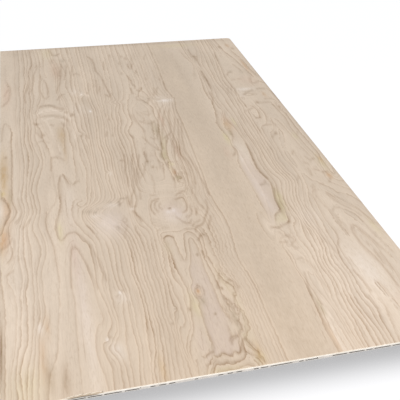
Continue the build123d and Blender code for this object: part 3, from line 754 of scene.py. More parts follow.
# Tints that follow the grain, by colour: place, half width, half length and strength.
PALE_WOOD = "#DECDBA"
LATE_WOOD = "#9B7B5A"
tints = {
    "amber": "#C9985F", "honey": "#D3B280", "umber": "#94744F", "olive": "#A3936A", "straw": "#DDD0A8",
    "milky": "#F1E6DB", "ashen": "#B9A996", "drab": "#C6B39D", "rosy": "#DABDA9", "bright": "#F3E3D2",
    "lilac": "#DDCBC0"}
tinted_places = {
    "amber": [
        (9, 710, 13, 50, 0.3), (18, 880, 16, 90, 0.4), (102, 150, 9, 90, 0.3), (118, 270, 7, 50, 0.3),
        (544, 328, 4, 8, 0.7), (617, 1022, 5, 18, 0.35), (852, 60, 6, 80, 0.3), (1180, 889, 10, 24, 0.55),
        (1195, 1020, 6, 30, 0.4), (1187, 2040, 7, 80, 0.5), (1177, 2347, 10, 22, 0.5),
        (1172, 1670, 8, 30, 0.35),
    ],
    "honey": [
        (4, 700, 16, 80, 0.5), (10, 1120, 15, 150, 0.7), (234, 1415, 15, 70, 0.45), (236, 1280, 7, 90, 0.3),
        (544, 322, 9, 18, 0.4), (640, 50, 9, 40, 0.5), (388, 40, 8, 50, 0.5), (917, 1385, 19, 58, 0.42),
    ],
    "umber": [
        # (0, 200, ...) is not grain: it darkens a narrow band along the near part of the left edge.
        (0, 200, 3.5, 110, 0.9), (118, 75, 12, 60, 0.32), (152, 50, 11, 60, 0.42), (333, 378, 4, 6, 0.35),
        (275, 192, 4, 6, 0.35), (548, 357, 5, 7, 0.5), (550, 783, 5, 5, 0.7), (664, 1175, 6, 90, 0.2),
        (465, 265, 3, 6, 0.55), (445, 208, 3, 6, 0.55), (567, 220, 3, 6, 0.55), (502, 255, 4, 9, 0.6),
        (582, 503, 4, 8, 0.8), (601, 512, 4, 10, 0.7), (614, 325, 4, 8, 0.7), (551, 783, 5, 6, 0.5),
        (532, 1127, 5, 9, 0.7), (545, 1082, 5, 9, 0.7), (439, 1155, 5, 9, 0.7), (18, 1259, 5, 10, 0.6),
        (161, 1432, 5, 11, 0.6), (141, 1532, 5, 12, 0.6), (291, 1605, 5, 12, 0.6), (1095, 1268, 6, 12, 0.6),
        (1114, 1591, 6, 14, 0.6), (1127, 2326, 8, 18, 0.6), (1193, 2297, 8, 18, 0.6), (950, 1870, 6, 90, 0.4),
        (961, 2190, 8, 40, 0.45),
    ],
    "olive": [
        (30, 960, 8, 60, 0.4), (548, 283, 9, 18, 0.4), (598, 1163, 10, 36, 0.4), (612, 1245, 6, 50, 0.5),
        (622, 985, 11, 18, 0.6), (615, 1400, 14, 60, 0.4), (500, 560, 12, 40, 0.3), (617, 180, 8, 70, 0.2),
        (867, 180, 6, 40, 0.55), (931, 728, 11, 46, 0.3), (908, 1305, 8, 24, 0.5), (1130, 60, 8, 50, 0.4),
    ],
    "straw": [
        (6, 990, 10, 20, 0.7), (60, 60, 50, 70, 0.35), (182, 715, 8, 54, 0.7), (522, 270, 15, 50, 0.55),
        (622, 1088, 7, 12, 0.6), (540, 8, 44, 12, 0.4), (640, 30, 16, 24, 0.5), (941, 745, 10, 50, 0.5),
        (949, 795, 8, 40, 0.5), (882, 1265, 11, 50, 0.9), (953, 1410, 6, 40, 0.7), (1199, 532, 12, 50, 0.4),
        (1190, 60, 24, 50, 0.6), (1192, 990, 14, 60, 0.5), (1167, 1228, 10, 30, 0.5),
        (225, 2360, 30, 70, 0.35), (895, 2385, 110, 22, 0.4),
    ],
    "milky": [
        (1110, 330, 110, 330, 0.18), (4, 880, 14, 50, 0.8), (222, 200, 14, 260, 0.3),
        (225, 900, 24, 120, 0.25), (99, 265, 6, 22, 0.9), (325, 371, 4, 8, 1.3), (330, 345, 16, 22, 0.6),
        (267, 184, 4, 8, 1.2), (283, 148, 16, 24, 0.6), (295, 120, 14, 24, 0.4), (335, 730, 44, 70, 0.35),
        (362, 843, 22, 14, 0.5), (300, 785, 16, 12, 0.4), (426, 806, 9, 8, 0.7), (386, 1064, 5, 12, 0.6),
        (370, 1622, 4, 9, 2.2), (350, 1819, 5, 16, 0.7), (330, 1640, 40, 60, 0.25), (541, 764, 8, 10, 0.7),
        (560, 768, 9, 12, 0.7), (560, 730, 38, 40, 0.35), (892, 900, 14, 240, 0.12), (892, 780, 10, 90, 0.2),
        (1076, 320, 36, 100, 0.35), (1000, 640, 40, 60, 0.25), (706, 1680, 30, 15, 1.3),
        (690, 1720, 34, 14, 0.3), (700, 1630, 26, 40, 0.35), (1100, 1745, 40, 16, 0.8),
        (1070, 1690, 24, 40, 0.25), (320, 1850, 20, 40, 0.35),
    ],
    "ashen": [
        (284, 818, 22, 13, 0.5), (303, 808, 5, 7, 0.8), (313, 830, 4, 7, 0.8), (328, 830, 4, 6, 0.7),
        (357, 865, 9, 9, 0.5), (388, 850, 5, 15, 0.7), (406, 878, 15, 5, 0.7), (365, 700, 5, 16, 0.5),
        (921, 876, 15, 9, 0.5), (200, 1712, 26, 10, 0.6), (205, 1600, 26, 14, 0.35),
        (640, 1712, 34, 14, 0.35), (618, 1676, 12, 16, 0.5), (1112, 1712, 24, 12, 0.5),
        (1150, 1960, 16, 30, 0.4), (1090, 1976, 12, 16, 0.4), (1180, 1740, 20, 10, 0.4),
        # (610, 2436, ...) and (1218, 1500, ...) are not grain: they are painted shade along the far and right
        # edges.
        (610, 2436, 700, 14, 0.5), (1218, 1500, 5, 800, 0.6), (268, 2333, 8, 14, 0.5),
        (298, 2250, 14, 24, 0.6), (80, 2380, 60, 40, 0.3),
    ],
    "drab": [
        (530, 60, 330, 240, 0.28), (630, 650, 60, 460, 0.25), (758, 60, 50, 400, 0.2),
        (10, 1150, 16, 110, 0.7), (230, 1420, 20, 100, 0.5), (570, 815, 26, 24, 0.3),
        (262, 2110, 34, 130, 0.5), (354, 1735, 16, 50, 0.3),
    ],
    "rosy": [
        (10, 700, 16, 60, 0.6), (215, 560, 10, 90, 0.35), (615, 1022, 9, 26, 0.6), (660, 1190, 6, 70, 0.5),
        (655, 1480, 7, 60, 0.6), (850, 1140, 12, 50, 0.4), (925, 1405, 16, 70, 0.4), (1110, 120, 20, 60, 0.3),
        (255, 2120, 24, 100, 0.5), (1145, 1850, 40, 60, 0.35), (24, 1860, 16, 120, 0.6),
    ],
    "bright": [
        (45, 450, 45, 650, 0.7), (150, 400, 50, 420, 0.42), (975, 220, 100, 330, 0.75),
        (150, 1600, 170, 700, 0.16), (980, 1650, 80, 300, 0.12), (610, 2350, 700, 90, 0.12),
        (210, 1650, 46, 20, 0.5),
    ],
    "lilac": [
        (560, 760, 40, 60, 0.6), (350, 740, 44, 80, 0.5), (220, 500, 20, 300, 0.4), (505, 120, 13, 60, 0.5),
    ],
}

# Tints that end at a growth line: colour, lowest and highest ring, and then as above.
ring_tints = [
    ("drab", -0.5, 9, 785, 1220, 100, 1700, 0.42), ("lilac", -20, -9, 555, 190, 62, 330, 0.6),
    ("bright", 11, 20, 217, 200, 40, 400, 0.2), ("bright", -1.9, -0.9, 868, 70, 26, 170, 0.75),
    ("bright", -1, 9, 872, 40, 15, 170, 0.35), ("lilac", -1.95, -0.1, 895, 860, 60, 230, 0.5),
    ("milky", -1.95, -0.1, 900, 1130, 50, 100, 0.25), ("straw", -3, -2, 930, 740, 30, 110, 0.4),
    ("straw", -3, -1.95, 905, 635, 34, 44, 0.3), ("straw", -8, -7, 612, 1180, 40, 170, 0.4),
    ("olive", -8, -7, 604, 1130, 30, 60, 0.15), ("straw", -7.6, -6, 622, 230, 30, 180, 0.25),
]

# Where the lines are drawn more or less strongly: place, half width, half length, and change.
line_places = [
    (170, 500, 60, 420, -0.35), (280, 400, 60, 420, -0.2), (60, 130, 45, 160, 0.25), (217, 632, 9, 24, 0.9),
    (250, 470, 8, 70, 0.4), (265, 560, 8, 90, 0.4), (390, 560, 8, 110, 0.7), (424, 610, 8, 60, 0.6),
    (380, 160, 10, 170, 0.6), (500, 470, 9, 60, 0.7), (640, 640, 40, 140, 0.35), (445, 1350, 45, 500, 0.35),
    (935, 1350, 55, 620, 0.45), (600, 1170, 14, 90, 0.4), (532, 1200, 8, 60, 0.6), (425, 950, 8, 70, 0.5),
    (445, 1200, 8, 60, 0.5), (673, 1200, 8, 90, 0.6), (862, 170, 14, 120, 0.6), (880, 560, 14, 80, 0.4),
    (893, 650, 10, 60, 0.7), (1000, 380, 60, 500, 0.25), (1100, 640, 40, 90, 0.3), (105, 1300, 10, 160, 0.6),
    (20, 1480, 30, 160, 0.5), (205, 1060, 14, 60, 0.5), (550, 775, 66, 90, -1.2), (628, 690, 26, 60, -0.8),
    (440, 300, 30, 350, 0.35), (950, 100, 90, 150, 0.4), (925, 740, 30, 100, 0.3), (200, 950, 70, 120, 0.5),
    (345, 960, 30, 160, -0.35), (345, 150, 25, 100, -0.25), (1010, 760, 40, 130, -0.35),
    (858, 570, 18, 70, -1.3), (850, 630, 12, 50, -1.3), (560, 1900, 60, 300, -0.25), (335, 720, 40, 84, -0.8),
    (372, 790, 34, 40, -0.8), (276, 705, 12, 30, 0.5), (920, 700, 12, 60, 0.9), (936, 850, 12, 90, 0.6),
    (924, 620, 16, 16, 0.9), (868, 597, 16, 8, 1), (931, 1000, 12, 100, 0.5), (957, 900, 10, 120, 0.3),
    (890, 850, 24, 250, -1), (676, 1170, 10, 110, 0.4), (624, 1030, 9, 40, 0.3), (626, 985, 16, 30, 0.3),
    (550, 45, 90, 40, 0.4), (614, 150, 14, 70, -0.5), (543, 330, 16, 30, -0.6), (635, 60, 14, 50, 0.3),
    (604, 85, 10, 30, 0.4), (528, 110, 8, 40, 0.5), (422, 850, 8, 40, 0.7), (620, 380, 14, 60, 0.2),
    (432, 770, 10, 40, 0.7), (514, 623, 18, 8, 0.8), (610, 1480, 80, 120, -0.15), (1120, 1000, 70, 230, -0.3),
    (300, 2050, 180, 350, -0.25), (580, 2050, 120, 350, -0.25), (840, 590, 12, 70, -1),
    (1120, 480, 60, 200, -0.15), (570, 930, 66, 34, -0.75), (535, 1010, 36, 60, -0.7),
    (498, 930, 26, 50, -0.6), (574, 1600, 34, 100, -0.5), (548, 1420, 20, 90, -0.4),
]

# Where the lines run raggedly: place, half width, half length, and how much more than elsewhere.
ragged_places = [
    (635, 230, 45, 190, 0.7), (660, 480, 50, 160, 1), (560, 55, 70, 45, 0.3), (640, 800, 60, 160, 0.8),
    (490, 560, 40, 120, 0.8), (610, 1250, 40, 260, 0.6), (895, 560, 40, 120, 1.2), (905, 1200, 30, 400, 0.6),
    (1130, 900, 90, 400, 0.2), (200, 1690, 120, 60, 1.2), (690, 1700, 120, 60, 1.2),
    (620, 2100, 620, 320, 0.8), (200, 300, 80, 500, -0.5),
]

# Dark curls, too tight for the rings as drawn above: how dark, half how thick in mm, and the course
# of each curl that is so.
curls = [
    # round the large knot: the strong line below right, the nested arcs left and right of it
    (0.8, 3.2, [(682, 810), (682, 788), (680, 772), (676, 752), (668, 730), (657, 710), (651, 692),
     (643, 674), (635, 663), (626, 660), (616, 655), (608, 644), (607, 629)], [(580, 835), (592, 841),
     (602, 849), (609, 844), (612, 832), (614, 815), (613, 797), (610, 779), (606, 763), (599, 754),
     (590, 750)]),
    (0.6, 3.2, [(634, 690), (626, 684), (616, 679), (607, 669), (602, 658)]),
    (0.8, 4, [(638, 762), (636, 745), (630, 729)]),
    (0.6, 3.4, [(561, 726), (569, 710), (576, 694), (583, 685), (592, 680), (602, 686), (606, 699)],
     [(655, 796), (659, 782), (665, 770)]),
    (0.7, 3.8, [(675, 706), (669, 685), (661, 669), (655, 654), (652, 636)]),
    (0.6, 3, [(623, 790), (622, 772), (621, 757), (617, 738), (611, 726), (603, 720), (595, 719)],
     [(526, 823), (519, 813), (517, 804), (519, 793), (525, 786)]),
    (0.8, 3, [(526, 852), (514, 851), (504, 846), (498, 840), (494, 826), (489, 810), (488, 797), (489, 785),
     (491, 772), (495, 758)], [(520, 841), (514, 840), (508, 828), (504, 813), (502, 801), (504, 787),
     (508, 770)]),
    (0.7, 3, [(495, 610), (500, 617), (507, 622), (516, 624), (523, 619), (529, 612)]),
    (0.7, 3.2, [(588, 862), (594, 870), (604, 877), (616, 883), (627, 880), (629, 866)]),
    (0.5, 3, [(502, 884), (510, 882), (519, 876)]), (0.4, 3, [(574, 644), (594, 644)]),
    (0.8, 3.4, [(602, 580), (608, 590), (614, 600), (622, 608), (629, 603)]),
    (0.35, 3, [(476, 694), (488, 686), (500, 682), (509, 676), (521, 668)]),
    (0.3, 2.6, [(483, 729), (507, 716)], [(478, 710), (504, 700)]),
    # the ragged crown and the curls right of the heart
    (0.8, 3, [(499, 66), (510, 70), (518, 76), (525, 77)], [(612, 60), (618, 48), (630, 38), (640, 25),
     (646, 12)], [(632, 350), (641, 344), (647, 333), (652, 316)]),
    (0.6, 3, [(526, 58), (533, 57), (540, 60), (548, 63), (554, 60), (562, 54), (570, 58)], [(580, 94),
     (589, 112), (599, 117), (607, 123), (613, 137)]),
    (0.8, 3.2, [(580, 62), (590, 56), (597, 64), (602, 80), (606, 92), (613, 103), (622, 106)]),
    (0.7, 3.2, [(582, 96), (579, 108), (583, 118), (590, 121), (606, 120)]),
    (0.8, 3.4, [(621, 106), (629, 90), (636, 72), (641, 50)], [(614, 278), (619, 268), (623, 250)]),
    (0.5, 2.6, [(500, 38), (508, 37), (516, 45), (524, 48), (530, 40), (537, 30), (545, 28), (552, 35),
     (560, 30), (575, 28), (596, 33)]),
    (0.7, 2.8, [(629, 203), (622, 212), (622, 228), (628, 240), (636, 238), (638, 222), (634, 210),
     (629, 203)]),
    (0.7, 3, [(596, 238), (600, 215), (605, 190)], [(642, 362), (651, 357), (658, 338), (664, 320)]),
    (0.8, 4, [(622, 178), (625, 160), (623, 140)]),
    (0.5, 3.4, [(601, 330), (606, 345), (613, 362), (621, 382), (626, 402)]),
    (0.6, 3.4, [(600, 500), (607, 485), (613, 470), (615, 452)]),
    (0.5, 3.2, [(604, 333), (612, 355), (623, 384), (626, 408), (625, 435)], [(607, 285), (608, 268),
     (616, 243), (622, 231)]),
    (0.55, 3, [(629, 361), (641, 349), (651, 331), (655, 315), (647, 290), (636, 273), (631, 251)]),
    (0.55, 3.2, [(593, 248), (597, 228), (601, 203), (608, 182), (618, 161)]),
    (0.8, 2.6, [(533, 322), (539, 340), (549, 347), (558, 342), (561, 324), (557, 308)]),
    (0.6, 2.6, [(534, 314), (536, 303), (542, 297)]),
    # the foot of the pale lens right of the plain band, and its right border
    (0.7, 3.4, [(856, 600), (866, 595), (880, 592), (889, 597), (898, 602)], [(920, 700), (922, 730),
     (925, 762), (931, 790), (938, 815), (946, 838)]),
    (0.6, 3.2, [(884, 640), (890, 662), (898, 675), (908, 682), (918, 690)]),
    (0.6, 3.4, [(900, 604), (910, 608), (921, 615), (930, 628), (932, 648)]),
    (0.5, 3.4, [(858, 512), (868, 509), (880, 508)]), (0.4, 3.4, [(866, 530), (880, 540), (902, 545)]),
    (0.8, 4.6, [(944, 915), (935, 945), (929, 975), (930, 1010), (934, 1040), (935, 1080), (942, 1120),
     (945, 1200)]),
    (0.5, 4, [(905, 873), (918, 878), (930, 895)]),
    (0.6, 5, [(868, 1112), (878, 1125), (887, 1145), (887, 1180)]),
    # the whorl at the left
    (0.5, 4, [(388, 864), (391, 850), (387, 834)]), (0.3, 3.4, [(397, 879), (420, 879)]),
    (0.6, 3.4, [(421, 892), (421, 860), (422, 835), (426, 820), (434, 817), (441, 822)], [(421, 696),
     (418, 680), (420, 662), (426, 640)]),
    (0.8, 3.6, [(427, 792), (432, 775), (436, 755), (441, 740), (444, 726)]),
    (0.7, 3.2, [(285, 685), (279, 708), (273, 722), (267, 735)]),
    (0.5, 3, [(296, 650), (292, 665), (294, 684)]),
    (0.5, 2.6, [(384, 738), (386, 750), (394, 758), (400, 748), (398, 735), (390, 728), (384, 738)]),
    (0.45, 2.6, [(355, 713), (364, 705), (372, 690), (378, 668), (376, 640)]),
    (0.4, 2.6, [(397, 720), (394, 700), (388, 685), (382, 668), (384, 640)]),
    # round the pale knot that the left edge cuts off
    (0.8, 3.4, [(0, 964), (14, 942), (24, 916), (30, 886), (30, 868), (23, 850)]),
    (0.8, 5, [(22, 845), (17, 822), (14, 800)]),
    (0.6, 3.4, [(0, 655), (12, 664), (22, 674), (28, 692), (30, 705)], [(24, 752), (25, 736), (28, 722)]),
    (0.5, 3, [(20, 584), (30, 592), (38, 608)], [(16, 520), (26, 528), (34, 540)], [(70, 762), (80, 785),
     (92, 812)]),
    (0.5, 3.4, [(46, 800), (54, 815), (64, 838), (68, 862)]),
    # left: the long S of one ring, the arch inside it, and the rings that bulge round the pale knot
    (0.5, 3.2, [(268, 1032), (254, 1022), (246, 1009), (238, 1025), (228, 1057), (216, 1085), (205, 1072),
     (198, 1038), (193, 990), (195, 906), (189, 853), (175, 771), (171, 731), (173, 691), (180, 666),
     (189, 668), (198, 690), (208, 703), (221, 706), (233, 695), (248, 671), (265, 629), (283, 540),
     (295, 434)]),
    (0.35, 3.2, [(184, 1237), (181, 1072), (186, 944), (180, 900), (162, 868), (151, 835), (144, 786),
     (143, 729), (151, 680), (161, 625), (162, 458)]),
    (0.45, 3.2, [(194, 425), (197, 490), (202, 558), (208, 607), (218, 618), (229, 606), (238, 564),
     (259, 456), (265, 402)]),
    (0.45, 3, [(41, 1316), (41, 1101), (38, 1003), (41, 929), (52, 882), (47, 840), (35, 801), (31, 769),
     (28, 738), (34, 713), (40, 689), (38, 652), (33, 610), (22, 577)]),
    (0.4, 3, [(57, 953), (63, 906), (68, 861), (64, 828), (52, 789)]),
    # the far valley: the ragged line, the olive blot and the rings beside it
    (0.42, 3.6, [(638, 1300), (630, 1262), (625, 1231), (623, 1204)]),
    (0.45, 4.2, [(617, 1270), (614, 1242), (608, 1216), (598, 1192), (592, 1172), (591, 1150), (597, 1134),
     (607, 1136)]),
    (0.5, 3.4, [(606, 1124), (612, 1112), (604, 1110), (598, 1096), (598, 1077), (604, 1064)], [(621, 1066),
     (625, 1050), (623, 1030), (619, 1012), (616, 994)]),
    (0.45, 3.6, [(614, 991), (604, 981), (602, 962), (607, 947), (600, 934), (597, 914)], [(674, 1140),
     (677, 1100), (677, 1050), (675, 1020), (672, 985), (668, 940), (664, 900)], [(660, 1230), (655, 1190),
     (648, 1160)]),
    (0.42, 3.2, [(624, 995), (629, 975), (624, 958), (617, 962)]),
    (0.5, 4, [(682, 1255), (674, 1215), (669, 1177), (673, 1145)], [(661, 1564), (653, 1533), (642, 1505),
     (637, 1467), (629, 1430)], [(697, 1558), (694, 1529), (684, 1490), (679, 1448), (674, 1395), (670, 1365),
     (662, 1330)]),
    (0.38, 3.6, [(648, 1108), (650, 1077), (660, 1046), (662, 1012), (664, 990)], [(533, 1235), (529, 1185)],
     [(575, 1131), (573, 1085), (570, 1066)], [(695, 1634), (682, 1619), (671, 1595), (663, 1564)],
     [(710, 1634), (695, 1605), (684, 1576)], [(718, 1636), (708, 1600), (703, 1564), (697, 1535)],
     [(734, 1636), (726, 1595), (721, 1552), (713, 1490)]),
    (0.42, 4, [(643, 1018), (646, 1012)], [(587, 1712), (584, 1730), (590, 1745), (601, 1750), (612, 1743),
     (618, 1730)], [(648, 1334), (647, 1300)]),
    (0.42, 3.4, [(530, 1018), (527, 982), (530, 965), (524, 931), (521, 902)], [(496, 1074), (485, 1035)],
     [(515, 1075), (506, 1036)]),
    (0.38, 4, [(560, 1080), (561, 1072)], [(556, 1190), (557, 1168)], [(594, 1577), (617, 1576)],
     [(562, 1585), (566, 1552), (575, 1530), (581, 1503)], [(545, 1560), (548, 1525), (550, 1490),
     (552, 1455)], [(528, 1560), (529, 1510)]),
    (0.5, 4.4, [(587, 1709), (596, 1702), (605, 1698), (613, 1687), (618, 1676), (628, 1678), (634, 1692),
     (638, 1712)]),
    (0.45, 4, [(580, 1570), (586, 1560), (596, 1548), (607, 1538), (618, 1552)], [(578, 1492), (586, 1484),
     (594, 1474), (605, 1458), (613, 1476)], [(580, 1326), (592, 1311), (604, 1310), (610, 1333), (616, 1371),
     (625, 1408)], [(674, 1516), (666, 1486), (658, 1462), (650, 1424), (642, 1400), (634, 1355)]),
    (0.6, 4, [(562, 1485), (584, 1460), (605, 1449), (621, 1474)], [(665, 1586), (645, 1504), (630, 1425),
     (615, 1336)], [(683, 1568), (664, 1500), (644, 1422), (629, 1334), (609, 1251)]),
    (0.58, 4, [(535, 1552), (547, 1481), (562, 1417), (567, 1384)], [(549, 1336), (564, 1278), (583, 1232),
     (597, 1205)]),
    (0.62, 4, [(709, 1593), (690, 1510), (683, 1428), (667, 1352), (641, 1319), (628, 1309)], [(716, 1505),
     (696, 1412), (673, 1325), (654, 1242), (650, 1183)]),
    (0.66, 4, [(722, 1476), (706, 1384), (690, 1297), (676, 1214), (669, 1156), (683, 1108), (686, 1052),
     (682, 989), (676, 929)], [(728, 1433), (714, 1356), (701, 1282), (689, 1187), (698, 1105), (701, 1049),
     (702, 985), (703, 903), (704, 845)]),
    (0.55, 3.6, [(632, 1020), (639, 977), (638, 937), (636, 897)], [(455, 1199), (449, 1122), (438, 1060),
     (441, 1017), (435, 959)]),
    (0.6, 3.6, [(651, 1059), (658, 994), (652, 934), (649, 885), (653, 837), (656, 789), (664, 761)]),
    (0.58, 3.6, [(486, 1193), (472, 1117), (469, 1053), (458, 994), (454, 935), (434, 882), (427, 838)],
     [(511, 1187), (494, 1113), (476, 1031), (468, 962), (470, 913), (464, 866)]),
    (0.52, 3.6, [(537, 1182), (522, 1107), (504, 1046), (487, 1008)]),
    (0.45, 4.4, [(601, 1392), (602, 1380)], [(560, 1395), (561, 1378)]),
    (0.42, 4.4, [(660, 1428), (661, 1420)], [(500, 1362), (508, 1352), (512, 1335)]),
    # the far whorl at the left
    (0.4, 5, [(157, 1597), (194, 1612), (230, 1604), (259, 1572), (272, 1513), (277, 1440)], [(16, 1852),
     (30, 1908)]),
    (0.5, 4.4, [(130, 1546), (141, 1528), (152, 1533)], [(138, 1449), (147, 1430), (153, 1405), (169, 1425)],
     [(178, 1128), (181, 1196), (187, 1225), (201, 1231), (219, 1214), (227, 1197)]),
    (0.4, 4.4, [(142, 1368), (157, 1376), (169, 1369), (182, 1353)]),
    (0.5, 3.6, [(3, 1401), (7, 1491), (12, 1550), (19, 1563), (29, 1541), (39, 1500)]),
    (0.6, 5, [(10, 1742), (31, 1793), (42, 1862), (41, 1935), (33, 1982)], [(284, 1592), (297, 1596)]),
    (0.7, 6, [(167, 1707), (189, 1716), (212, 1708), (235, 1681), (258, 1664)]),
    (0.6, 4.6, [(243, 1648), (250, 1644)], [(262, 1632), (273, 1628)], [(242, 1524), (249, 1510),
     (251, 1496)], [(197, 1520), (206, 1510)]),
    (0.5, 4.6, [(220, 1584), (236, 1578), (256, 1580)]),
    (0.6, 4.4, [(258, 1562), (268, 1556), (271, 1536), (272, 1495)]),
    (0.7, 4, [(315, 1716), (318, 1670), (318, 1628)]),
    (0.6, 4, [(429, 1584), (428, 1558)], [(435, 1530), (435, 1520)], [(306, 1396), (307, 1386)], [(326, 1398),
     (331, 1388), (335, 1368)], [(415, 1412), (412, 1392), (408, 1370)], [(434, 1380), (432, 1368)]),
    # the arches and short strokes near right
    (0.6, 5, [(1089, 592), (1087, 559), (1091, 514)]),
    (0.5, 3.6, [(1132, 553), (1122, 531), (1114, 498), (1114, 437), (1119, 409), (1127, 376), (1129, 342),
     (1129, 220)]),
    (0.45, 3.6, [(1137, 526), (1143, 503), (1153, 481), (1161, 442), (1166, 409)], [(1072, 259), (1082, 242),
     (1085, 220), (1087, 164)]),
    (0.4, 3.6, [(1150, 387), (1150, 298)], [(1053, 553), (1056, 525), (1045, 481), (1029, 448), (1016, 414)]),
    (0.4, 3.4, [(1027, 320), (1037, 276), (1039, 220)], [(1024, 198), (1024, 142)], [(1082, 609), (1092, 646),
     (1111, 674), (1131, 665), (1150, 638), (1169, 599), (1175, 546), (1177, 487), (1187, 436), (1194, 381)]),
    (0.45, 3.4, [(1135, 264), (1123, 352), (1111, 407), (1108, 454), (1110, 501), (1114, 533), (1126, 548),
     (1139, 549), (1146, 527), (1156, 483), (1167, 425), (1175, 362)]),
    (0.5, 3.2, [(1120, 767), (1125, 727), (1144, 685), (1168, 644), (1182, 605)], [(1142, 743), (1166, 700),
     (1191, 648), (1200, 601), (1206, 548)], [(871, 569), (884, 538), (900, 531), (908, 513), (885, 487),
     (901, 468)]),
    (0.35, 6, [(1094, 821), (1078, 766), (1078, 727), (1086, 670), (1094, 615), (1102, 561), (1099, 520)]),
    (0.4, 3.2, [(1013, 704), (1019, 666), (1018, 613), (1009, 564), (1003, 525), (1007, 476), (1012, 428),
     (1016, 383)]),
    (0.6, 3, [(877, 342), (872, 316), (864, 271), (858, 234)]),
    (0.4, 3, [(877, 413), (896, 416), (909, 392), (915, 348), (915, 293), (916, 240)]),
    # the broken rings beside the right edge
    (0.4, 5, [(1100, 1278), (1080, 1250), (1067, 1233)]),
    (0.4, 4, [(1190, 1267), (1177, 1233)], [(1095, 839), (1077, 789)], [(1035, 1155), (1032, 1128)]),
    (0.45, 4, [(1115, 1106), (1100, 1078)], [(1122, 1005), (1135, 989)], [(1120, 955), (1117, 900)],
     [(1140, 944), (1157, 928)], [(1122, 839), (1135, 833)], [(1062, 905), (1050, 878)]),
    (0.5, 4, [(1142, 1050), (1152, 1017), (1172, 1028)], [(1175, 867), (1160, 839)]),
    (0.7, 4.4, [(1165, 917), (1185, 917)]), (0.45, 3.6, [(1125, 772), (1135, 744)]),
    (0.4, 3.6, [(1060, 778), (1062, 733)]),
    # the far whorl at the right and the rings past it
    (0.6, 4.6, [(1075, 1684), (1109, 1712), (1131, 1729)], [(1062, 1929), (1078, 1962), (1094, 1962)]),
    (0.5, 4.6, [(1159, 1738), (1194, 1738)], [(1100, 1870), (1115, 1870)], [(1069, 1868), (1084, 1868)],
     [(1131, 2062), (1141, 2018), (1147, 1984)], [(953, 2318), (947, 2207)], [(962, 2173), (962, 2073)],
     [(1169, 1807), (1194, 1829)], [(1175, 1551), (1184, 1484)]),
    (0.5, 4.4, [(1159, 1617), (1191, 1617)], [(1106, 1580), (1172, 1580)], [(1037, 1507), (1078, 1534)],
     [(1056, 1425), (1078, 1425)], [(1069, 1351), (1103, 1351)]),
    (0.45, 4, [(1112, 1384), (1125, 1307)]),
    (0.5, 5, [(1075, 2218), (1069, 2129)], [(947, 2205), (975, 2205)]),
    (0.7, 4.6, [(950, 1996), (947, 1907), (944, 1784)]), (0.6, 4.4, [(928, 1729), (925, 1662), (909, 1607)]),
    (0.4, 4, [(1009, 1707), (1025, 1773)], [(1022, 1696), (1041, 1773)], [(1041, 1684), (1056, 1762)]),
    # the far left: two long rings, a pale lens between dark lips, and smudges of dense wood
    (0.6, 4.6, [(144, 2418), (145, 2297), (145, 2204), (135, 2140), (130, 2126), (128, 2047), (125, 1976),
     (116, 1918), (106, 1868), (101, 1833), (104, 1761)], [(239, 1768), (249, 1797), (259, 1818),
     (273, 1826)]),
    (0.5, 4.4, [(170, 2204), (166, 2154), (154, 2104), (145, 2040), (140, 1983), (137, 1911), (121, 1854)],
     [(180, 2083), (180, 2018)], [(194, 2011), (202, 1968), (207, 1911), (206, 1811)], [(308, 2163),
     (299, 2080), (287, 2001)], [(339, 2175), (325, 2076), (311, 1965)], [(253, 2351), (243, 2385),
     (239, 2410)]),
    (0.6, 4.4, [(176, 1997), (171, 1940), (170, 1890), (175, 1847), (183, 1804), (194, 1790), (204, 1811)],
     [(333, 2058), (349, 2068), (361, 2045)]),
    (0.6, 5, [(249, 2347), (259, 2333), (270, 2333), (287, 2354)]),
    (0.5, 4.6, [(287, 2204), (280, 2126), (273, 2054), (263, 1954), (252, 1911), (242, 1847)]),
    (0.5, 4.2, [(318, 1990), (314, 1940), (311, 1854)], [(439, 1883), (428, 1833)]),
    (0.55, 4.4, [(432, 1968), (425, 1883), (420, 1811)]),
    (0.4, 4, [(418, 1976), (411, 1883)], [(392, 1940), (387, 1847)]), (0.7, 4.6, [(375, 1828), (375, 1816)]),
    (0.5, 9, [(245, 2262), (246, 2232)]), (0.5, 8, [(309, 2186), (309, 2160)]),
    (0.45, 9, [(273, 2100), (270, 2050)]),
    # the far middle
    (0.8, 4.4, [(424, 2287), (439, 2248), (444, 2176), (441, 2090), (457, 2021), (463, 1955), (467, 1876),
     (476, 1785), (469, 1765), (454, 1789)], [(607, 2154), (605, 2118), (609, 2090), (619, 2090), (624, 2133),
     (628, 2150)], [(728, 1934), (728, 1924)]),
    (0.8, 4.6, [(583, 1997), (587, 1947), (592, 1940), (591, 1911), (593, 1883), (599, 1868), (597, 1847)],
     [(602, 1818), (609, 1804), (616, 1811), (626, 1840)]),
    (0.7, 4.6, [(576, 1840), (574, 1818), (578, 1783)], [(738, 1890), (735, 1833), (735, 1790)]),
    (0.3, 4, [(636, 2240), (626, 2154)]), (0.65, 4.4, [(633, 2061), (633, 2033)]),
    (0.52, 4, [(669, 1754), (678, 1797), (681, 1833)]), (0.58, 4, [(681, 1754), (692, 1811), (699, 1833)]),
    (0.58, 5, [(666, 1948), (666, 1938)]), (0.52, 4.4, [(716, 2268), (705, 2240), (699, 2204)]),
    (0.58, 4.4, [(493, 2204), (488, 2140), (483, 2097)]), (0.65, 6, [(592, 2272), (592, 2262)]),
    (0.65, 7, [(607, 2242), (607, 2225)]), (0.52, 6, [(568, 2176), (567, 2160)], [(561, 2040), (560, 2026)]),
    (0.52, 8, [(533, 2290), (533, 2276)]),
]

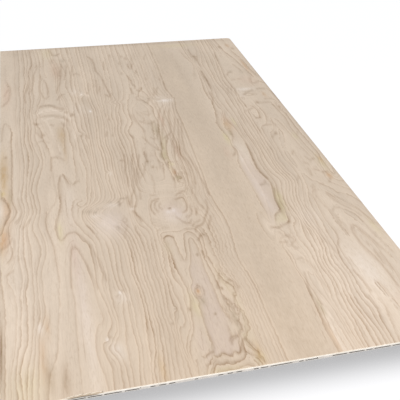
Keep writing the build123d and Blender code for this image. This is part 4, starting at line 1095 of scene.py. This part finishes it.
# Pale curls, where the swollen wood over a knot was sanded through.
pale_curls = [
    (0.55, 5, [(148, 1631), (175, 1659), (208, 1673), (238, 1647), (266, 1603), (284, 1561), (293, 1485),
     (290, 1391)]),
    (0.5, 5, [(187, 1579), (213, 1587), (243, 1569), (266, 1527), (276, 1464), (284, 1380)]),
    (0.4, 5, [(132, 1621), (166, 1583), (185, 1542), (195, 1455), (209, 1350), (219, 1282)]),
    (0.6, 4.4, [(338, 1792), (349, 1812), (365, 1812), (377, 1792)]), (0.5, 3, [(547, 322), (552, 312)]),
]

RING_END = 6                # how sharply a tint ends at its growth line
CURL_RUN = 2.0              # a curl is this much thicker along the grain than across it
CURL_DEPTH = 0.62           # how dark the darkest curl is, as a share of latewood
FAINTEST = 0.02             # lines are never drawn more faintly than this
FAR_LINES = 0.1             # how much bolder the rings run in the far half
FAR_START, FAR_REACH = 900, 1000        # mm, where that starts and over what length it grows
RAGGED = 0.65               # how raggedly lines run where nothing else is said


def tinting(shade, amount):
    """What a tint multiplies the colour of the wood by, where there is so much of it."""
    return 1 + (np.array(linear(shade)) / np.array(linear(PALE_WOOD)) - 1) * amount[..., None]


def curl_shade(half_thickness, course):
    """How deep in a curl each place of the face lies: 1 on its course, fading to 0 beside it."""
    knots = np.array(course, float) / (1, CURL_RUN)
    nearest = np.full(plan_x.shape, 1e6)
    for start, end in zip(knots[:-1], knots[1:]):
        run = end - start
        from_start = np.stack([plan_x, plan_y / CURL_RUN], -1) - start
        share = np.clip(from_start @ run / (run @ run), 0, 1)
        nearest = np.minimum(nearest, ((from_start - share[..., None] * run) ** 2).sum(-1))
    return np.exp(-nearest / half_thickness**2)


def curled(some_curls):
    """How deep in any of some curls each place of the face lies."""
    deepest = np.zeros(grid_x.shape)
    for depth, half_thickness, *courses in some_curls:
        for course in courses:
            deepest = np.maximum(deepest, depth * curl_shade(half_thickness, course))
    return deepest


stain_grid = np.ones((*grid_x.shape, 4))
for colour, places in tinted_places.items():
    for *place, strength in places:
        stain_grid *= tinting(tints[colour], strength * patch(*place))
for colour, lowest, highest, x, y, half_width, half_length, strength in ring_tints:
    inside = np.clip((ring_grid - lowest) * RING_END, 0, 1) * np.clip((highest - ring_grid) * RING_END, 0, 1)
    near_by = np.exp(-((((plan_x - x) / half_width) ** 2 + ((plan_y - y) / half_length) ** 2) ** 2))
    stain_grid *= tinting(tints[colour], strength * inside * near_by)
stain_grid *= tinting(LATE_WOOD, CURL_DEPTH * curled(curls))
stain_grid *= tinting(tints["bright"], curled(pale_curls))
line_grid = np.ones(grid_x.shape)
for *place, change in line_places:
    line_grid += change * patch(*place)
line_grid = np.maximum(line_grid, FAINTEST)
line_grid *= 1 + FAR_LINES * np.clip((plan_y - FAR_START) / FAR_REACH, 0, 1)
ragged_grid = np.full(grid_x.shape, RAGGED)
for *place, change in ragged_places:
    ragged_grid += change * patch(*place)

# The mesh: the sanded face, the eased arris all round it, the sawn wall and the glued underside.
# Each level of the wall has its height and its roughness in mm.
WALL = [(FACE_TOP - ARRIS, 0.0), (FACE_TOP - 0.9, 0.25), (FACE_TOP - 1.6, 0.3), (FACE_BASE, 0.2)]
BROKEN_WALL = 0.25          # how far the wall steps out in the chip, as a share of elsewhere
number = np.arange(ROWS * columns).reshape(ROWS, columns)
quads = np.stack([number[:-1, :-1], number[:-1, 1:], number[1:, 1:], number[1:, :-1]], -1).reshape(-1, 4)
round_edge = np.concatenate([number[0, :-1], number[:-1, -1], number[-1, :0:-1], number[:0:-1, 0]])
top_points = np.column_stack([grid_x.ravel(), grid_y.ravel(), np.full(ROWS * columns, FACE_TOP)])
edge_points = top_points[round_edge, :2]
course = np.roll(edge_points, -1, axis=0) - np.roll(edge_points, 1, axis=0)
outward = np.column_stack([course[:, 1], -course[:, 0]])
outward /= np.linalg.norm(outward, axis=1)[:, None]
broken = (broken_back(edge_points[:, 0]) > 0) & (edge_points[:, 1] < NEAR + CHIP_REACH)
outward[broken] = (0, -1)
lap = np.where(broken, BROKEN_WALL, 1.0)
rough = np.random.default_rng(12)
points = [top_points]
faces = [quads]
finish = [np.zeros(len(quads), int)]
above = round_edge
for level, (height, roughness) in enumerate(WALL):
    out = (ARRIS - roughness * rough.random(len(round_edge))) * lap
    ring = np.column_stack([edge_points + outward * out[:, None], np.full(len(round_edge), height)])
    below = ROWS * columns + level * len(round_edge) + np.arange(len(round_edge))
    faces.append(np.column_stack([above, below, np.roll(below, -1), np.roll(above, -1)]))
    finish.append(np.full(len(round_edge), min(level, 1)))
    points.append(ring)
    above = below
points = np.vstack(points) * MM
faces = np.vstack(faces).tolist() + [above[::-1].tolist()]
finish = np.concatenate(finish).tolist() + [1]

face_mesh = bpy.data.meshes.new("good_face")
face_mesh.from_pydata(points.tolist(), [], faces)
face_mesh.polygons.foreach_set("material_index", finish)
from_top = np.concatenate([number.ravel(), np.tile(round_edge, len(WALL))])
measures = {
    "ring": ring_grid, "ring_spacing": spacing_grid, "line_strength": line_grid, "raggedness": ragged_grid}
for name, measure in measures.items():
    layer = face_mesh.attributes.new(name, "FLOAT", "POINT")
    layer.data.foreach_set("value", measure.ravel()[from_top].astype(np.float32))
layer = face_mesh.attributes.new("stain", "FLOAT_COLOR", "POINT")
layer.data.foreach_set("color", stain_grid.reshape(-1, 4)[from_top].astype(np.float32).ravel())
good_face = put_in_scene("good_face", face_mesh)

# Sanded rotary-cut softwood: pale earlywood, matt and faintly streaked along the grain, between
# thin tan latewood lines that are a little harder and smoother, so they catch a trace of sheen.
WAVER = 6.0                 # mm that the lines stray in long bends
NICKS = 9.0                 # mm that they stray in short nicks, where they run raggedly
LINE_END = 1.7              # mm within which a line turns pale again
DRY_LINE = 1.7              # mm, half the thickness of a dry summer's line
FRESH = 3.5                 # mm of the palest wood after a line
PROUD = 0.05 * MM           # how far the lines stand up
face_wood, tree = start_material("sanded rotary-cut softwood veneer")
coords = add(tree, "TexCoord").outputs["Object"]


def grain_noise(tree, coords, across, along, detail=2.0, roughness=0.5):
    """Wood noise whose blotches are so many millimetres wide and long."""
    scale = 1 / (across * MM), 1 / (along * MM), 1 / (across * MM)
    scaled = add(tree, "VectorMath", [coords, scale], "MULTIPLY")
    return add(tree, "TexNoise", {"Vector": scaled, "Scale": 1.0, "Detail": detail, "Roughness": roughness})


ring, spacing, drawn, ragged = (
    add(tree, "Attribute", attribute_name=name).outputs["Fac"] for name in measures)
stain = add(tree, "Attribute", attribute_name="stain").outputs["Color"]

# The lines waver by a few millimetres, in long bends and in short nicks.
bends = grain_noise(tree, coords, 26, 90, detail=4.0, roughness=0.62)
nicks = grain_noise(tree, coords, 13, 17, detail=1.0)
wander = add(tree, "Math", [bends, WAVER, -WAVER / 2], "MULTIPLY_ADD")
nick = add(tree, "Math", [nicks, NICKS, -NICKS / 2], "MULTIPLY_ADD")
wander = add(tree, "Math", [nick, ragged, wander], "MULTIPLY_ADD")
tight = add(tree, "Clamp", [spacing, 5.0, 26.0])
shift = add(tree, "Math", [wander, tight], "DIVIDE")
height = add(tree, "Math", [ring, shift], "ADD")
own_ring = add(tree, "Math", [height], "FLOOR")
after = add(tree, "Math", [height], "FRACT")
before = add(tree, "Math", [1, after], "SUBTRACT")

# The wood darkens slowly towards the end of a ring and turns pale at once where the next begins.
after_mm = add(tree, "Math", [after, spacing], "MULTIPLY")
before_mm = add(tree, "Math", [before, spacing], "MULTIPLY")
ramp = add(tree, "MapRange", [spacing, 5, 28, -1.9, -5.6])
ramp = add(tree, "Math", [ramp, drawn], "MULTIPLY")
darkening = add(tree, "Math", [before_mm, ramp], "DIVIDE")
darkening = add(tree, "Math", [darkening], "EXPONENT")
line = add(tree, "Math", [darkening, fading(tree, after_mm, LINE_END)], "MAXIMUM")

# Many rings hold a weaker line of their own part of the way, from a dry summer.
dry = add(tree, "TexWhiteNoise", {"W": own_ring}, noise_dimensions="1D")
dry_place = add(tree, "MapRange", [dry, 0, 1, 0.3, 0.68])
from_dry = add(tree, "Math", [after, dry_place], "SUBTRACT")
from_dry = add(tree, "Math", [from_dry, spacing], "MULTIPLY")
dry_line = fading(tree, from_dry, DRY_LINE)
roomy = add(tree, "MapRange", [spacing, 8, 14])
here = add(tree, "MapRange", [grain_noise(tree, coords, 30, 150), 0.42, 0.62, 0, 0.75])
for share in (roomy, here):
    dry_line = add(tree, "Math", [dry_line, share], "MULTIPLY")
line = add(tree, "Math", [line, dry_line], "MAXIMUM")

# Some rings are strong and some faint, and each comes and goes along its course. Where the rings
# lie far apart the knife ran flat along one of them, and hardly any line shows.
nearest = add(tree, "Math", [height], "ROUND")
own_strength = add(tree, "TexWhiteNoise", {"W": nearest}, noise_dimensions="1D")
own_strength = add(tree, "MapRange", [own_strength, 0, 1, 0.3, 0.64])
coming = add(tree, "MapRange", [grain_noise(tree, coords, 20, 110), 0.3, 0.65, 0.5, 1])
flat_cut = add(tree, "MapRange", [spacing, 40, 120, 1, 0])
crowded = add(tree, "MapRange", [spacing, 3, 9, 0.35, 1])
for share in (own_strength, coming, flat_cut, crowded):
    line = add(tree, "Math", [line, share], "MULTIPLY")
line = add(tree, "Math", [line, drawn], "MULTIPLY", use_clamp=True)

# Fine streaks along the grain, short flecks where the knife ran flat, each ring's own shade of
# pale, and the cloudy change of tone over the whole veneer.
streaks = grain_noise(tree, coords, 1.6, 40, detail=3.0, roughness=0.6)
flecks = grain_noise(tree, coords, 4.2, 22, roughness=0.7)
clouds = grain_noise(tree, coords, 90, 420, detail=3.0)
flat = add(tree, "MapRange", [spacing, 24, 60, 0.25, 1])
fleck = add(tree, "MapRange", [flecks, 0.5, 0.72, 0, 0.16])
fleck = add(tree, "Math", [fleck, flat], "MULTIPLY")
dark = add(tree, "Math", [line, fleck], "ADD", use_clamp=True)
colour = add(tree, "Mix", {"Factor": dark, 6: linear(PALE_WOOD), 7: linear(LATE_WOOD)}, data_type="RGBA")
tone = add(tree, "MapRange", [streaks, 0.3, 0.7, 0.95, 1.05])
cloud_tone = add(tree, "MapRange", [clouds, 0.3, 0.7, 0.95, 1.05])
ring_tone = add(tree, "TexWhiteNoise", {"W": own_ring}, noise_dimensions="1D")
ring_tone = add(tree, "MapRange", [ring_tone, 0, 1, 0.985, 1.03])
fresh = add(tree, "Math", [after_mm, -FRESH], "DIVIDE")
fresh = add(tree, "Math", [fresh], "EXPONENT")
fresh = add(tree, "Math", [fresh, flat_cut], "MULTIPLY")
fresh = add(tree, "Math", [fresh, 0.09, 0.985], "MULTIPLY_ADD")
for part in (cloud_tone, ring_tone, fresh):
    tone = add(tree, "Math", [tone, part], "MULTIPLY")
toned = add(tree, "VectorMath", {0: colour.outputs[2], "Scale": tone}, "SCALE")
patchy = grain_noise(tree, coords, 9, 34, detail=3.0, roughness=0.6)
patchy = add(tree, "MapRange", [patchy, 0.32, 0.62, 0.55, 1])
tint = add(tree, "Mix", {"Factor": patchy, 6: (1, 1, 1, 1), 7: stain}, data_type="RGBA")
stained = add(tree, "VectorMath", [toned, tint.outputs[2]], "MULTIPLY")

# Latewood stands a few hundredths of a millimetre proud after sanding and shines a little more.
relief = add(tree, "Math", [dark, streaks], "ADD")
bump = add(tree, "Bump", {"Height": relief, "Distance": PROUD, "Strength": 0.8})
gloss = add(tree, "MapRange", [line, 0, 1, 0.72, 0.58])
wood_surface = add(tree, "BsdfPrincipled", {
    "Base Color": stained, "Roughness": gloss, "Normal": bump, "IOR": 1.45, "Specular IOR Level": 0.3})
add(tree, "OutputMaterial", [wood_surface])


def rough_wood(tree, colour, height, depth, roughness, shine):
    """Ends a material as wood left unsanded, whose fibres stand up by a depth in mm."""
    bump = add(tree, "Bump", {"Height": height, "Distance": depth * MM})
    surface = add(tree, "BsdfPrincipled", {
        "Base Color": colour.outputs[2], "Roughness": roughness, "Normal": bump, "Specular IOR Level": shine})
    add(tree, "OutputMaterial", [surface])


# The sawn end grain of the face: a dense fuzzy cut, lighter than the sanded face. The paleness is
# partly the freshly opened wood and partly a painted highlight on the near edge, which faces the lamps.
face_edge, tree = start_material("sawn end grain of the face veneer")
coords = add(tree, "TexCoord").outputs["Object"]
cells = add(tree, "TexNoise", {"Vector": coords, "Scale": 1200.0, "Detail": 2.0})
patches = add(tree, "TexNoise", {"Vector": coords, "Scale": 90.0, "Detail": 3.0})
mixed = add(tree, "Math", [cells, patches], "MULTIPLY")
tone = add(tree, "MapRange", [mixed, 0.12, 0.42])
colour = add(tree, "Mix", {"Factor": tone, 6: linear("#E0D8CC"), 7: linear("#F7F3EC")}, data_type="RGBA")
rough_wood(tree, colour, mixed, depth=0.15, roughness=0.85, shine=0.2)

face_mesh.materials.append(face_wood)
face_mesh.materials.append(face_edge)
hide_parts("face_veneer")
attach(good_face, "root")


# The inner veneers.
# Two crossbands, laid with their grain across the sheet, and the core between them, with its grain
# along it. All three are the log's plainer wood, seen only as sawn or torn edges. The core and the
# lower crossband are coloured a cool grey: painted shade, like the painted shadow on the floor.
FIBRE = 0.5                 # mm thick
FIBRE_RUN = 30              # mm long
# The torn recesses behind the saw cut take painted shade between these depths.
CUT_DEPTH = 0.15, 1.2       # mm behind the near edge, from where and by where the wood is torn
TORN_REACH = 20, 14         # mm behind it, by where and from where that ends


def sawn_veneer(name, light, dark, torn, grain_across):
    """Sawn softwood: streaks along the grain on two edges, and dark pores on the other two. Where
    it is torn away behind the saw cut it is left rough, and the torn colour is painted there as
    painted shade in the recess."""
    material, tree = start_material(name)
    coords = add(tree, "TexCoord").outputs["Object"]
    run, cut = (FIBRE_RUN, FIBRE) if grain_across else (FIBRE, FIBRE_RUN)
    scale = 1 / (run * MM), 1 / (cut * MM), 1 / (FIBRE * MM)
    scaled = add(tree, "VectorMath", [coords, scale], "MULTIPLY")
    fibres = add(tree, "TexNoise", {"Vector": scaled, "Scale": 1.0, "Detail": 3.0})
    patches = add(tree, "TexNoise", {"Vector": coords, "Scale": 45.0, "Detail": 3.0})
    mixed = add(tree, "Math", [fibres, patches], "MULTIPLY")
    tone = add(tree, "MapRange", [mixed, 0.14, 0.4])
    colour = add(tree, "Mix", {"Factor": tone, 6: linear(dark), 7: linear(light)}, data_type="RGBA")
    place = add(tree, "SeparateXYZ", [coords])
    # Painted shade in the torn recesses behind the near edge, short of the two side edges.
    behind_cut, from_end = (
        add(tree, "MapRange", [place.outputs["Y"], *((NEAR + depth) * MM for depth in depths)])
        for depths in (CUT_DEPTH, TORN_REACH))
    from_middle = add(tree, "Math", [place.outputs["X"]], "ABSOLUTE")
    inside = add(tree, "Math", [from_middle, (RIGHT - 1) * MM], "LESS_THAN")
    hollow_shade = add(tree, "Math", [behind_cut, from_end], "MULTIPLY")
    hollow_shade = add(tree, "Math", [hollow_shade, inside], "MULTIPLY")
    colour = add(tree, "Mix", {"Factor": hollow_shade, 6: colour.outputs[2], 7: linear(torn)}, data_type="RGBA")
    rough_wood(tree, colour, mixed, depth=0.2, roughness=0.85, shine=0.2)
    return material


inner_veneers = {
    # Paler than the wood: partly a painted highlight on the lit near edge.
    "upper_crossband": sawn_veneer("sawn crossband, pale", "#F4F0EA", "#E2DBD0", "#C4B5A2", True),
    # Cool grey for the core and the lower crossband: painted shade.
    "core_veneer": sawn_veneer("sawn core veneer", "#D8D5D2", "#C0BBB6", "#6E665C", False),
    "lower_crossband": sawn_veneer("torn crossband", "#CFCBC8", "#B9B4AF", "#4A423A", True),
}
for node, material in inner_veneers.items():
    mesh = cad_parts[node].data
    mesh.materials.clear()
    mesh.materials.append(material)


# The back veneer.
# A plain rotary-cut veneer, left unsanded: browner and rougher than the face, with long loose rings.
# Its walls are painted a cool grey, a painted shade, and the side inside the sheet is dark with glue.
BACK_RING = 45              # mm from one ring to the next
BACK_SWIRL = 16             # rings that the figure strays by
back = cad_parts["back_veneer"].data
back_wood, tree = start_material("unsanded rotary-cut softwood veneer")
coords = add(tree, "TexCoord").outputs["Object"]
swirl = grain_noise(tree, coords, 150, 1100, detail=1.0)
across = add(tree, "SeparateXYZ", [coords])
rings = add(tree, "Math", [swirl, BACK_SWIRL], "MULTIPLY")
rings = add(tree, "Math", [across, 1 / (BACK_RING * MM), rings], "MULTIPLY_ADD")
between = add(tree, "Math", [rings], "FRACT")
late = add(tree, "MapRange", [between, 0.55, 1])
fibre = grain_noise(tree, coords, 1.5, 40, detail=3.0, roughness=0.6)
mixed = add(tree, "Math", [late, fibre], "MULTIPLY")
colour = add(tree, "Mix", {"Factor": mixed, 6: linear("#D2B994"), 7: linear("#8A6A45")}, data_type="RGBA")
facing = add(tree, "SeparateXYZ", [add(tree, "NewGeometry").outputs["True Normal"]])
facing_down = add(tree, "Math", [facing.outputs["Z"]], "ABSOLUTE")
# The walls: cool grey, painted shade.
sawn = add(tree, "Math", [facing_down, 0.5], "LESS_THAN")
colour = add(tree, "Mix", {"Factor": sawn, 6: colour.outputs[2], 7: linear("#CBC8C4")}, data_type="RGBA")
glued = add(tree, "Math", [facing.outputs["Z"], 0.5], "GREATER_THAN")
colour = add(tree, "Mix", {"Factor": glued, 6: colour.outputs[2], 7: linear("#2E2823")}, data_type="RGBA")
rough_wood(tree, colour, fibre, depth=0.2, roughness=0.8, shine=0.25)
back.materials.clear()
back.materials.append(back_wood)
